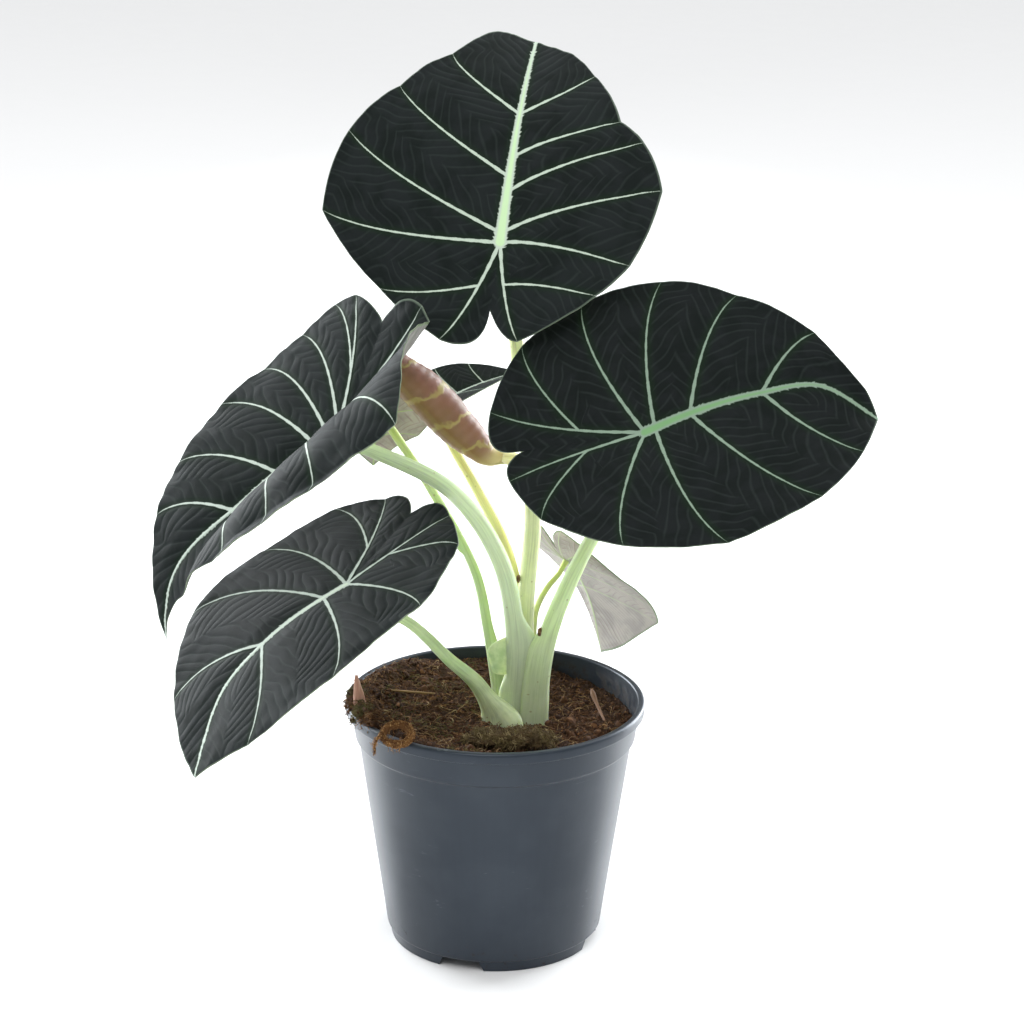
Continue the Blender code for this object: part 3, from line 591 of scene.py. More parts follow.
def bowed(start, end, bow, parts):
    """Points of a vein from start to end, bowed sideways by a part of its length."""
    start, end = np.array(start, float), np.array(end, float)
    du, dv = end - start
    bend = VEIN_BEND if bow * du > 0 else 1 - VEIN_BEND
    middle = start + bend * (end - start) + bow * np.array([dv, -du])
    t = np.linspace(0, 1, parts + 1)[:, None]
    return (1 - t) ** 2 * start + 2 * t * (1 - t) * middle + t * t * end


def wander(u, v, seed):
    """A smooth wandering value between -1 and 1 over a leaf, for arrays of u and v in millimetres."""
    a = np.sin(0.13 * u + 1.4 * np.sin(0.081 * v + seed) + 2.1 * seed)
    b = np.sin(0.11 * v + 1.7 * np.sin(0.097 * u + 0.7 * seed) + seed)
    c = np.sin(0.29 * (u - v) + 1.1 * np.sin(0.21 * (u + v)) + 3.0 * seed)
    return (a + b + 0.6 * c) / 2.6


def nearest_on(line, points):
    """Distance from each point to a line of points, and how far along the line the nearest place is."""
    starts, steps = line[:-1], np.diff(line, axis=0)
    lengths = np.maximum(np.linalg.norm(steps, axis=1), 1e-9)
    run = np.concatenate([[0.0], np.cumsum(lengths)])
    best = np.full(len(points), 1e9)
    place = np.zeros(len(points))
    for start, step, length, before in zip(starts, steps, lengths, run):
        t = np.clip(((points - start) @ step) / length ** 2, 0, 1)
        gap = np.linalg.norm(points - start - t[:, None] * step, axis=1)
        nearer = gap < best
        best[nearer] = gap[nearer]
        place[nearer] = (before + t * length)[nearer]
    return best, place, run[-1]


def midrib_line(sizes):
    """The midrib's course, as a function that gives its (u, v) for any v."""
    line = np.array(smooth_path([list(k) for k in (sizes["tip"], *sizes["midrib"], (0.0, 0.0))], 12))[::-1]
    return lambda v: np.stack([np.interp(v, line[:, 1], line[:, 0]), np.asarray(v, float)], axis=-1)


def side_lines(sizes, side):
    """The main lines of one half, from the tip's midrib round to the notch, and where each one starts."""
    sign = 1 if side == "right" else -1
    mid, veins = midrib_line(sizes), sizes[side]
    bow = sizes["bow"][0 if sign > 0 else 1]
    first, fork = veins[0][0], round(ALONG * NOTCH_FORK)
    lines = [mid(np.linspace(first, sizes["tip"][1], ALONG + 1))]
    for i, (start, u, v) in enumerate(veins):
        if start == "rib":
            rib = bowed((0, 0), veins[i + 1][1:], 0.08 * sign, ALONG)
            branch = bowed(rib[fork], (u, v), bow * sign, ALONG - fork)
            lines.append(np.concatenate([rib[:fork], branch]))
        elif i and veins[i - 1][0] == "rib":
            lines.append(bowed((0, 0), (u, v), 0.08 * sign, ALONG))
        else:
            lines.append(bowed(mid(start), (u, v), (bow if i else abs(bow)) * sign, ALONG))
    lines.append(bowed((0, 0), sizes["notch"], 0.0, ALONG))
    starts = [first, *(0 if vein[0] == "rib" else vein[0] for vein in veins), 0]
    return lines, starts


def midrib_stations(sizes):
    """Where the faces of both halves meet the midrib, close enough together for the margin as well."""
    spans = []
    for side in ("right", "left"):
        lines, starts = side_lines(sizes, side)
        for one, two, high, low in zip(lines, lines[1:], starts, starts[1:]):
            if high > low:
                spans.append((high, low, np.linalg.norm(one[-1] - two[-1]) / (high - low)))
    order = sorted({value for span in spans for value in span[:2]}, reverse=True)
    stations = []
    for high, low in zip(order, order[1:]):
        spread = max([1.0] + [ratio for top, bottom, ratio in spans if top >= high and bottom <= low])
        parts = max(2, round((high - low) * spread / ACROSS))
        stations += [high + (low - high) * k / parts for k in range(parts)]
    return np.array(stations + [0.0])


def sector_grid(sizes, side, number, lines, starts, stations):
    """Points (u, v) of one sector between two main lines: rows along the lines, columns across."""
    sign = 1 if side == "right" else -1
    one, two = lines[number], lines[number + 1]
    via = None
    if number == 0:
        via = sizes["tip_side"][0 if sign > 0 else 1]
    elif number == len(lines) - 2:
        via = sizes["lobe_side"][0 if sign > 0 else 1]
    roots = stations[(stations <= starts[number]) & (stations >= starts[number + 1])]
    chord = np.linalg.norm(one[-1] - two[-1])
    parts = len(roots) - 1 if len(roots) > 1 else max(14, round(chord * (1.35 if via else 1.0) / ACROSS))
    s = np.linspace(0, 1, ALONG + 1)[:, None, None]
    t = np.linspace(0, 1, parts + 1)[None, :, None]
    grid = one[:, None] * (1 - t) + two[:, None] * t
    a, b = one[-1], two[-1]
    if via:
        swell = np.array(via) - (a + b) / 2
    else:
        swell = np.array([-(b - a)[1], (b - a)[0]]) * EDGE_BULGE * sign
    rise = 1 - np.abs(2 * t - 1) ** (APEX_ROUND if number == 0 else 2.0)
    grid = grid + s ** 2 * swell * rise
    if len(roots) > 1:
        flat = one[0] * (1 - t[0]) + two[0] * t[0]
        grid = grid + (1 - s) ** 2 * (midrib_line(sizes)(roots) - flat)[None]
    grid[:, 0], grid[:, -1] = one, two
    return grid


# How a blade is modelled. Heights and widths are in millimetres.
VEIN_START, VEIN_THINNING = 0.94, 0.76  # a side vein's width at its root and what it loses, as parts
VEIN_BEADS = 0.16  # swelling of a side vein at every pleat, as a part of its width
VEIN_END, VEIN_CLOSED = 0.88, 0.98  # where a side vein starts to close and where it has closed
RIB_THINNING = 0.78  # what the midrib loses of its width up to the tip, as a part
PLEAT_SLANT = 0.9  # how steeply the pleats run towards the tip
PLEAT_WANDER, SEAM_WANDER = 0.60, 1.4
PLEAT_OFFSET = 3.3  # pleats between one sector's first pleat and the next one's
PUFF_SPREAD = 26.0  # distance between two side veins where a blade swells in full
VEIN_RISE, RIB_RISE, RIB_VALLEY = 0.16, 0.30, 0.35
FAR = 50.0  # stands for a vein that isn't there


def vein_gap(sizes, distance, along, length, pitch):
    """How far points lie outside a side vein, which narrows towards its end."""
    share = along / length
    wide = sizes["vein"] * (VEIN_START - VEIN_THINNING * share ** 0.65)
    wide = wide * (1 + VEIN_BEADS * np.cos(2 * math.pi * along / pitch))
    closing = np.clip((VEIN_CLOSED - share) / (VEIN_CLOSED - VEIN_END), -1, 1)
    return distance - np.where(share > VEIN_END, wide * closing, wide)


def quilting(phases, seam):
    """Height of the pleats between two side veins, from 0 to 1. At the seam one set takes over."""
    one, two = (1 - np.abs(2 * (phase % 1.0) - 1) ** 2.6 for phase in phases)
    share = np.clip(seam / 5.0 + 0.5, 0, 1)
    return one * (1 - share) + two * share


def upper_relief(sizes, place, level, gaps, to_mid, quilt, lateral, rib):
    """How far the upper face stands out: pleats, swelling, wavy margin, veins and the midrib's valley."""
    u, v = place
    one, two = gaps
    clear = np.clip(np.minimum(np.minimum(one, two), to_mid) / 2.4, 0, 1)
    clear = clear * clear * (3 - 2 * clear) * np.clip((one + two) / 9.0, 0, 1)
    puff = np.sin(math.pi * one / np.maximum(one + two, 1e-6)) * np.clip((one + two) / PUFF_SPREAD, 0, 1)
    depth = settings("leaf").pleat_depth / MM * sizes["relief"]
    relief = depth * quilt * clear * (1 - 0.45 * level ** 6)
    relief += sizes["puff"] * puff * np.clip(to_mid / 8.0, 0, 1) * (1 - 0.5 * level)
    relief += sizes["ruffle"] * level ** 4 * wander(1.6 * u, 1.6 * v, sizes["seed"] + 9.0)
    vein = VEIN_RISE * np.exp(-(np.maximum(lateral, 0) / 0.35) ** 2)
    midrib = RIB_RISE * np.clip(-rib / sizes["rib"] + 0.15, 0, 1) ** 0.5
    valley = RIB_VALLEY * np.exp(-(to_mid / (2.0 * sizes["rib"] + 1.0)) ** 2)
    return relief + (np.maximum(vein, midrib) - valley) * (1 - level ** 4)


def lower_relief(sizes, level, to_mid, mid_wide, lateral):
    """How far the ribs of the lower face stand out."""
    ribs = 0.75 * sizes["vein"] * np.exp(-(np.maximum(lateral + 0.35, 0) / 0.55) ** 2)
    stout = 0.62 * mid_wide * np.exp(-(to_mid / (0.95 * mid_wide + 0.2)) ** 2)
    return np.maximum(ribs, stout) * (1 - level ** 3)


def sector_of(sizes, side, number, lines, grid, spine):
    """One sector of a blade: its points, and for each point its distances, phases and relief."""
    pitch = settings("leaf").pleat_pitch / MM * sizes["scale"]
    rows, columns = grid.shape[:2]
    flat = grid.reshape(-1, 2)
    u, v = flat[:, 0], flat[:, 1]
    to_mid, at_mid, mid_length = nearest_on(spine, flat)
    near = [nearest_on(line, flat) for line in (lines[number], lines[number + 1])]
    (d_one, a_one, l_one), (d_two, a_two, l_two) = near
    bare = (number == 0, number == len(lines) - 2)
    wave = wander(u, v, sizes["seed"])
    phases = [(along - PLEAT_SLANT * gap - 0.012 * gap * gap) / pitch + PLEAT_WANDER * wave
              + PLEAT_OFFSET * number for gap, along, _ in near]
    seam = d_one - d_two + SEAM_WANDER * wander(v, u, sizes["seed"] + 4.0)
    if bare[1]:
        seam = d_one - 1.4 * d_two
    edges = [np.full_like(gap, FAR) if without else vein_gap(sizes, gap, along, length, pitch)
             for (gap, along, length), without in zip(near, bare)]
    lateral = np.minimum(*edges)
    mid_wide = sizes["rib"] * (1.0 - RIB_THINNING * (at_mid / mid_length) ** 0.7)
    rib = to_mid - mid_wide
    level = np.linspace(0, 1, rows)[:, None].repeat(columns, 1).ravel()
    margin = (1 - level) * (l_one + l_two) / 2
    relief = upper_relief(sizes, (u, v), level, (d_one, d_two), to_mid, quilting(phases, seam), lateral, rib)
    return dict(
        side=side, rows=rows, columns=columns, uv=flat, level=level, relief=relief,
        lower=lower_relief(sizes, level, to_mid, mid_wide, lateral),
        veins=np.stack([lateral, rib, np.where(d_one < d_two, a_one, a_two)], 1),
        pleats=np.stack([*phases, seam], 1), plan=np.stack([u, v, margin], 1))


def leaf_sectors(sizes):
    """Every sector of a blade, from the tip round to the notch on its right and then on its left."""
    spine = midrib_line(sizes)(np.linspace(0.0, sizes["tip"][1], 120))
    stations = midrib_stations(sizes)
    sectors = []
    for side in ("right", "left"):
        lines, starts = side_lines(sizes, side)
        for number in range(len(lines) - 1):
            grid = sector_grid(sizes, side, number, lines, starts, stations)
            sectors.append(sector_of(sizes, side, number, lines, grid, spine))
    return sectors


def blade_mesh(name, sizes):
    """A closed blade: upper face, lower face and the thin margin between them."""
    sectors = leaf_sectors(sizes)
    uv = np.concatenate([sector["uv"] for sector in sectors])
    _, first, where = np.unique(np.round(uv, 4), axis=0, return_index=True, return_inverse=True)
    where = where.ravel()
    gathered = {key: np.concatenate([sector[key] for sector in sectors])
                for key in ("relief", "lower", "level", "veins", "pleats", "plan")}
    points, normals = leaf_surface(sizes, uv[first, 0], uv[first, 1])
    relief, lower, level = (gathered[key][first] for key in ("relief", "lower", "level"))
    wall = settings("leaf").thickness / MM * (1 - 0.45 * level ** 8)
    top = points + normals * (relief * MM)[:, None]
    bottom = points + normals * ((0.75 * relief - wall - lower) * MM)[:, None]
    shift = len(first)
    faces, corners, slots = [], [], []

    def add(ring, grid_ring, slot):
        kept, kept_grid = [], []
        for vertex, source in zip(ring, grid_ring):
            if vertex not in kept:
                kept.append(vertex)
                kept_grid.append(source)
        if len(kept) > 2:
            faces.append(kept)
            corners.extend(kept_grid)
            slots.append(slot)

    offset = 0
    for sector in sectors:
        rows, columns = sector["rows"], sector["columns"]
        turn = 1 if sector["side"] == "right" else -1
        for k in range(rows - 1):
            for j in range(columns - 1):
                ids = [offset + k * columns + j, offset + (k + 1) * columns + j,
                       offset + (k + 1) * columns + j + 1, offset + k * columns + j + 1][::turn]
                ring = [int(where[i]) for i in ids]
                add(ring, ids, 0)
                add([vertex + shift for vertex in ring[::-1]], ids[::-1], 1)
        last = offset + (rows - 1) * columns
        for j in range(columns - 1):
            ids = [last + j + 1, last + j, last + j, last + j + 1]
            ring = [int(where[ids[0]]), int(where[ids[1]]), int(where[ids[2]]) + shift,
                    int(where[ids[3]]) + shift]
            add(ring[::turn], ids[::turn], 2)
        offset += rows * columns
    mesh = new_mesh(name, np.concatenate([top, bottom]), faces)
    mesh.polygons.foreach_set("material_index", slots)
    for key in ("veins", "pleats", "plan"):
        store(mesh, key, gathered[key][corners], domain="CORNER")
    mesh.update()
    up = leaf_axes(sizes)[2]
    facing = sum(poly.normal @ Vector(up) for poly in mesh.polygons if poly.material_index == 0)
    if facing < 0:
        mesh.flip_normals()
    return mesh


def upper_skin(name, vein, midrib, feather, dark, light):
    """The dark, quilted upper face with its pale veins, a painted highlight along the seams between pleats
    and painted sheen on the pleat crests.
    """
    def recipe(nodes):
        veins, pleats, plan = (nodes.attribute(key) for key in ("veins", "pleats", "plan"))
        masks = nodes.use(vein_group(), {"Veins": veins, "Plan": plan, "Feather": feather})
        folds = nodes.use(pleat_group(), {"Pleats": pleats, "Veins": veins})
        marks = nodes.grain(plan, 7.0, 0.055)
        margin = nodes.split(plan)[2]
        ground = nodes.mix(marks["Blotch"], dark, light)
        tint = nodes.smooth(nodes.noise(plan, 0.11, 2.0), 0.42, 0.62)
        ground = nodes.mix(nodes.times(tint, 0.4), ground, (0.0095, 0.0115, 0.0130))
        ground = nodes.mix(nodes.times(masks["Beside"], 0.5), ground, (0.008, 0.022, 0.008))
        # Painted highlight: thin bluish-grey lines along the seams where two pleats meet.
        ground = nodes.mix(nodes.times(folds["Line"], 0.26), ground, (0.036, 0.048, 0.044))
        # Painted sheen: the pleat crests are lighter and bluish-grey, following the pleat's height.
        ground = nodes.mix(nodes.times(folds["Height"], 0.15), ground, (0.012, 0.017, 0.017))
        ground = nodes.mix(nodes.smooth(margin, 0.75, 0.15), ground, (0.10, 0.13, 0.10))
        streak = nodes.noise(plan, 2.2, 3.0, 0.6)
        side_tone = nodes.mix(streak, [0.62 * c for c in vein], vein)
        deep = nodes.smooth(nodes.split(veins)[1], -0.2, -1.3)
        rib_tone = nodes.mix(deep, [0.82 * c for c in vein], midrib)
        colour = nodes.mix(masks["Lateral"], ground, side_tone)
        colour = nodes.mix(masks["Midrib"], colour, rib_tone)
        pale = nodes.math("MAXIMUM", masks["Lateral"], masks["Midrib"])
        rough = nodes.blend(pale, nodes.blend(marks["Grain"], 0.56, 0.72), 0.50)
        height = nodes.add(nodes.times(folds["Height"], 0.8), nodes.times(marks["Grain"], 0.10),
                           nodes.times(pale, 0.35))
        return {"Base Color": colour, "Roughness": rough, "Normal": nodes.bump(height, 0.00016, 0.7)}
    return finish_of(name, recipe, Specular_IOR_Level=0.07)


def under_skin(name, blade, vein):
    """The paler lower face, with greener margins and lilac lines."""
    def recipe(nodes):
        veins, pleats, plan = (nodes.attribute(key) for key in ("veins", "pleats", "plan"))
        masks = nodes.use(vein_group(), {"Veins": veins, "Plan": plan, "Feather": 0.2})
        folds = nodes.use(pleat_group(), {"Pleats": pleats, "Veins": veins})
        marks = nodes.grain(plan, 5.0, 0.09)
        margin = nodes.split(plan)[2]
        ground = nodes.mix(marks["Blotch"], blade, [0.72 * c for c in blade])
        ground = nodes.mix(nodes.times(folds["Line"], 0.60), ground, (0.26, 0.18, 0.19))
        ground = nodes.mix(nodes.smooth(margin, 1.6, 0.2), ground, (0.16, 0.24, 0.11))
        pale = nodes.math("MAXIMUM", masks["Lateral"], masks["Midrib"])
        colour = nodes.mix(pale, ground, nodes.mix(marks["Grain"], [0.8 * c for c in vein], vein))
        height = nodes.add(nodes.times(folds["Line"], 0.8), nodes.times(marks["Grain"], 0.2))
        return skin_values(nodes, colour, marks["Grain"], (0.42, 0.60), height, (0.0002, 0.7))
    return finish_of(name, recipe, Sheen_Weight=0.12, Sheen_Roughness=0.5, Specular_IOR_Level=0.35,
                     Subsurface_Weight=0.08, Subsurface_Radius=(0.6, 0.9, 0.3), Subsurface_Scale=0.0010)


class ALOCASIA_OT_blades(bpy.types.Operator):
    """Adds the seven open leaf blades, quilted and veined"""
    bl_idname = "alocasia.blades"
    bl_label = "Leaf blades"

    def execute(self, context):
        options = settings("leaf")
        dark, light = tuple(options.blade_dark), tuple(options.blade_light)
        vein, midrib = tuple(options.vein), tuple(options.midrib)
        # The right leaf's skin has greener veins. It is also a darker copy with painted shade: its veins and
        # blade are darkened because this leaf lies more in shadow.
        shaded_green_vein = (0.17, 0.33, 0.15)
        tops = {
            "top": upper_skin("leaf_upper_pale_rib", vein, midrib, 0.7, dark, light),
            "right": upper_skin("leaf_upper_shaded_green_rib", (0.27, 0.37, 0.28), shaded_green_vein, 0.5,
                                [0.85 * c for c in dark], [0.62 * c for c in light]),
            "other": upper_skin("leaf_upper_silver_rib", (0.56, 0.65, 0.57), (0.58, 0.68, 0.55), 0.5, dark,
                                light)}
        under = under_skin("leaf_under", (0.17, 0.18, 0.135), (0.36, 0.46, 0.22))
        young_under = under_skin("leaf_under_young", (0.40, 0.37, 0.32), (0.42, 0.55, 0.24))
        margin = mottled_skin("leaf_margin", ((0.12, 0.17, 0.10), (0.26, 0.30, 0.21)), 3.0, 0.2, (0.5, 0.7),
                              (0.0001, 0.5), plan=True, Specular_IOR_Level=0.3)
        for which, sizes in LEAVES.items():
            mesh = blade_mesh(f"leaf_{which}", sizes)
            below = young_under if which.startswith("back") else under
            add_piece(f"leaf_{which}", mesh, [tops.get(which, tops["other"]), below, margin],
                      [f"blade_{which}"])
        return {"FINISHED"}


# ---- stage ----

def matte(name, colour):
    """An even surface for the floor."""
    def recipe(nodes):
        grain = nodes.noise(nodes.place(), 40.0, 2.0)
        tone = nodes.mix(nodes.times(grain, 0.02), colour, (0.8, 0.8, 0.8))
        return {"Base Color": tone, "Roughness": nodes.blend(grain, 0.16, 0.20)}
    return finish_of(name, recipe, Specular_IOR_Level=0.35)


CAMERA_PLACE = (0.0059, -1.2, 0.5758)
CAMERA_PITCH = 18.28
CAMERA_ROLL = 0.556
CAMERA_LENS = 112.8
FLOOR_REACH = 9.0


def soft_light(name, place, target, size, power, colour=(1.0, 1.0, 1.0)):
    data = bpy.data.lights.new(name, "AREA")
    data.shape = "RECTANGLE"
    data.size, data.size_y = size
    data.energy = power
    data.color = colour
    lamp = in_scene(name, data)
    lamp.location = place
    lamp.rotation_euler = (Vector(target) - Vector(place)).to_track_quat("-Z", "Y").to_euler()


class ALOCASIA_OT_stage(bpy.types.Operator):
    """Adds the camera, the pale floor and the soft studio lights"""
    bl_idname = "alocasia.stage"
    bl_label = "Studio"

    def execute(self, context):
        options = settings("stage")
        scene = context.scene
        scene.view_settings.view_transform = "Standard"
        camera_data = bpy.data.cameras.new("studio_camera")
        camera_data.lens = CAMERA_LENS
        camera_data.clip_start, camera_data.clip_end = 0.05, 40.0
        camera = in_scene("studio_camera", camera_data)
        pitch, roll = math.radians(CAMERA_PITCH), math.radians(CAMERA_ROLL)
        ahead = Vector((0.0, math.cos(pitch), -math.sin(pitch)))
        right, up = Vector((1.0, 0.0, 0.0)), Vector((0.0, math.sin(pitch), math.cos(pitch)))
        across = right * math.cos(roll) + up * math.sin(roll)
        above = up * math.cos(roll) - right * math.sin(roll)
        camera.matrix_world = (Matrix.Translation(CAMERA_PLACE)
                               @ Matrix((across, above, -ahead)).transposed().to_4x4())
        scene.camera = camera

        corners = [(x * FLOOR_REACH, y * FLOOR_REACH, 0.0) for x, y in ((-1, -1), (1, -1), (1, 1), (-1, 1))]
        mesh = new_mesh("studio_floor", corners, [(0, 1, 2, 3)])
        floor = in_scene("studio_floor", mesh)
        mesh.materials.append(matte("studio_floor", tuple(options.floor)))

        world = bpy.data.worlds.new("studio_surroundings")
        world.use_nodes = True
        scene.world = world
        glow = world.node_tree.nodes["Background"]
        glow.inputs["Color"].default_value = (0.97, 0.985, 1.0, 1.0)
        glow.inputs["Strength"].default_value = options.sky

        middle = (0.0, 0.0, BOUNDS[1][2] * 0.5)
        for side in (-1, 1):
            soft_light(f"rim_light_{'left' if side < 0 else 'right'}", (side * 0.85, 0.75, 0.28), middle,
                       (0.7, 1.0), options.rim, (0.94, 0.97, 1.0))
        soft_light("overhead_light", (0.0, 0.9, 3.2), (0.0, 0.9, 0.0), (7.0, 7.0), options.top)
        soft_light("key_light", (-0.25, -1.0, 1.30), middle, (0.9, 0.6), options.key)
        return {"FINISHED"}


# ---- stalks ----

CROWN_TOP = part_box("crown")[1][2]
STALKS = {
    "top": [(0.0120, 0.0045, 0.0036), (0.0118, 0.0050, 0.1400, 0.0034), (0.0142, 0.0070, 0.1775, 0.0033),
            (0.0098, 0.0170, 0.2205, 0.0031), (0.0052, 0.0270, 0.2540, 0.0028)],
    "right": [(0.0165, -0.0042, 0.0042), (0.0203, -0.0060, 0.1280, 0.0037), (0.0327, -0.0120, 0.1635, 0.0029),
              (0.0484, -0.0180, 0.1950, 0.0026)],
    "left_upper": [(0.0064, -0.0026, 0.0040), (0.0078, -0.0040, 0.1270, 0.0037),
                   (0.0014, -0.0080, 0.1620, 0.0035), (-0.0180, -0.0150, 0.1930, 0.0032),
                   (-0.0480, -0.0210, 0.2105, 0.0027)],
    "left_lower": [(-0.0010, -0.0085, 0.0042), (-0.0070, -0.0120, 0.1110, 0.0032),
                   (-0.0180, -0.0170, 0.1233, 0.0025), (-0.0342, -0.0260, 0.1424, 0.0021)],
    "back_left": [(0.0010, 0.0056, 0.0022), (-0.0036, 0.0085, 0.1290, 0.0021),
                  (-0.0087, 0.0110, 0.1510, 0.0019), (-0.0270, 0.0130, 0.1855, 0.0018),
                  (-0.0405, 0.0110, 0.2075, 0.0017)],
    "back_curved": [(0.0052, 0.0098, 0.0026), (0.0080, 0.0110, 0.1385, 0.0025),
                    (0.0032, 0.0150, 0.1605, 0.0024), (-0.0080, 0.0240, 0.1807, 0.0022),
                    (-0.0200, 0.0370, 0.1980, 0.0019)],
    "back_right": [(0.0145, 0.0100, 0.0016), (0.0148, 0.0160, 0.1190, 0.0014),
                   (0.0160, 0.0230, 0.1300, 0.0013), (0.0205, 0.0330, 0.1360, 0.0012)],
}
# Sheath wings of a stalk: (direction round the stalk in degrees, half width in degrees, reach in metres,
# height where it starts, height where it has its full reach, waves on its edge). 0 is +X and -90 the front.
SHEATHS = {
    "left_upper": [(-12, 34, 0.0046, 0.1395, 0.1270, 0.0), (-172, 30, 0.0016, 0.1130, 0.1040, 0.0)],
    "left_lower": [(-32, 44, 0.0092, 0.1085, 0.0945, 0.0), (160, 40, 0.0016, 0.1010, 0.0930, 0.0)],
    "right": [(-158, 34, 0.0030, 0.1345, 0.1240, 0.0), (-40, 50, 0.0010, 0.1120, 0.0980, 0.0)],
    "top": [(12, 36, 0.0026, 0.1270, 0.1180, 0.0), (185, 30, 0.0010, 0.1460, 0.1400, 0.0)],
    "back_left": [(-165, 28, 0.0028, 0.1800, 0.1720, 1.0), (10, 40, 0.0014, 0.1300, 0.1150, 0.0)],
    "back_curved": [(10, 30, 0.0012, 0.1300, 0.1150, 0.0)],
    "back_right": [],
}
STALK_RISE = 0.0040
NECK = 0.0070  # the last stretch stands square to the blade
STALK_SIDES = 40
WAVES_FROM = 0.1580  # height above which a wing with waves stands out


def smoothstep(value):
    """0 below 0, 1 above 1 and a soft rise between them."""
    value = min(max(value, 0.0), 1.0)
    return value * value * (3 - 2 * value)


def stalk_mesh(name, points, wings, sides=STALK_SIDES, parts=26):
    """A fleshy stalk through points (x, y, z, radius), with the wings of its sheath near the base."""
    angles = np.arange(sides) * 2 * math.pi / sides
    rings, notes, runs = [], [], []
    for place, radius, ways, run in along_path(points, parts, (1.0, 0.0, 0.0)):
        reach = np.full(sides, radius)
        reach *= 1 + 0.025 * np.cos(2 * angles + 0.6) + 0.012 * np.cos(5 * angles + run * 60)
        for direction, width, extent, start, full, waves in wings:
            grown = smoothstep((start - place[2]) / (start - full))
            if waves:
                grown *= smoothstep((place[2] - WAVES_FROM) / 0.006) * (0.8 + 0.35 * math.sin(run * 1300))
            turn = (angles - math.radians(direction) + math.pi) % (2 * math.pi) - math.pi
            reach += extent * grown * np.exp(-(turn / math.radians(width)) ** 2 * 1.6)
        rings.append(ring_at(place, ways, angles, reach))
        around = np.cos(angles) * radius, np.sin(angles) * radius
        notes.append(np.stack([*around, np.full(sides, run)], 1) / MM)
        runs.append(run)
    mesh = ring_tube(rings, name)
    store(mesh, "stalk", np.concatenate(notes + [[[0, 0, 0]], [[0, 0, runs[-1] / MM]]]))
    store(mesh, "rise", np.concatenate([np.repeat(np.array(runs) / runs[-1], sides), [0.0, 1.0]]), "FLOAT")
    return mesh


def stalk_skin(name, low, middle, high, specks=0.5):
    """Translucent fleshy skin with streaks along the stalk and a few brown specks."""
    def recipe(nodes):
        along = nodes.attribute("stalk")
        rise = nodes.attribute("rise", "Fac")
        marks = nodes.grain(nodes.place(), 2600.0, 150.0)
        x, y, run = nodes.split(along)
        streaks = nodes.noise(nodes.join(nodes.times(x, 1.6), nodes.times(y, 1.6),
                                         nodes.times(run, 0.045)), 1.0, 4.0, 0.6)
        colour = nodes.mix(nodes.smooth(rise, 0.02, 0.38), low, middle)
        colour = nodes.mix(nodes.smooth(rise, 0.45, 0.98), colour, high)
        colour = nodes.mix(nodes.smooth(streaks, 0.40, 0.68, 0.0, 0.55), colour, [0.62 * c for c in middle])
        paler = [min(1, 1.25 * c) for c in low]
        colour = nodes.mix(nodes.times(marks["Blotch"], 0.22), colour, paler)
        spotted = nodes.smooth(nodes.cells(along, 0.16), 0.085, 0.045, 0.0, specks)
        colour = nodes.mix(spotted, colour, (0.20, 0.13, 0.05))
        height = nodes.add(nodes.times(streaks, 0.8), nodes.times(marks["Grain"], 0.2))
        return skin_values(nodes, colour, marks["Grain"], (0.34, 0.52), height, (0.00025, 0.6))
    return finish_of(name, recipe, Specular_IOR_Level=0.42, Subsurface_Weight=0.55,
                     Subsurface_Radius=(0.9, 1.0, 0.35), Subsurface_Scale=0.0022)


def stalk_points(which):
    """Path of a stalk, from below the crown's top to the blade's lower face."""
    sizes = LEAVES[which]
    up = Vector(leaf_axes(sizes)[2])
    (x, y, radius), *rest = STALKS[which]
    buried = settings("stalk").buried
    points = [(x, y, CROWN_TOP - buried, radius * 1.06), (x, y, CROWN_TOP + STALK_RISE, radius), *rest]
    end = rest[-1][3]
    for below, share in ((NECK, 0.92), (NECK * 0.55, 0.94), (0.0006, 1.12)):
        points.append((*(Vector(sizes["at"]) - up * below), end * share))
    return points


def sheet_flap(name, outline, thickness, bend):
    """A thin torn scrap of sheath: rows of points (x, y, z), given a wall."""
    rows = np.array([smooth_path(row, 6) for row in outline])
    count, width = rows.shape[:2]
    rows[:, :, 1] += bend * np.sin(np.linspace(0, 7, width))[None] * np.linspace(0, 1, count)[:, None]
    mesh = new_mesh(name, rows.reshape(-1, 3), grid_faces(count, width, ring=False))
    return baked(name, mesh, [("SOLIDIFY", dict(thickness=thickness, offset=0.0)),
                              ("SUBSURF", dict(levels=2, render_levels=2))])


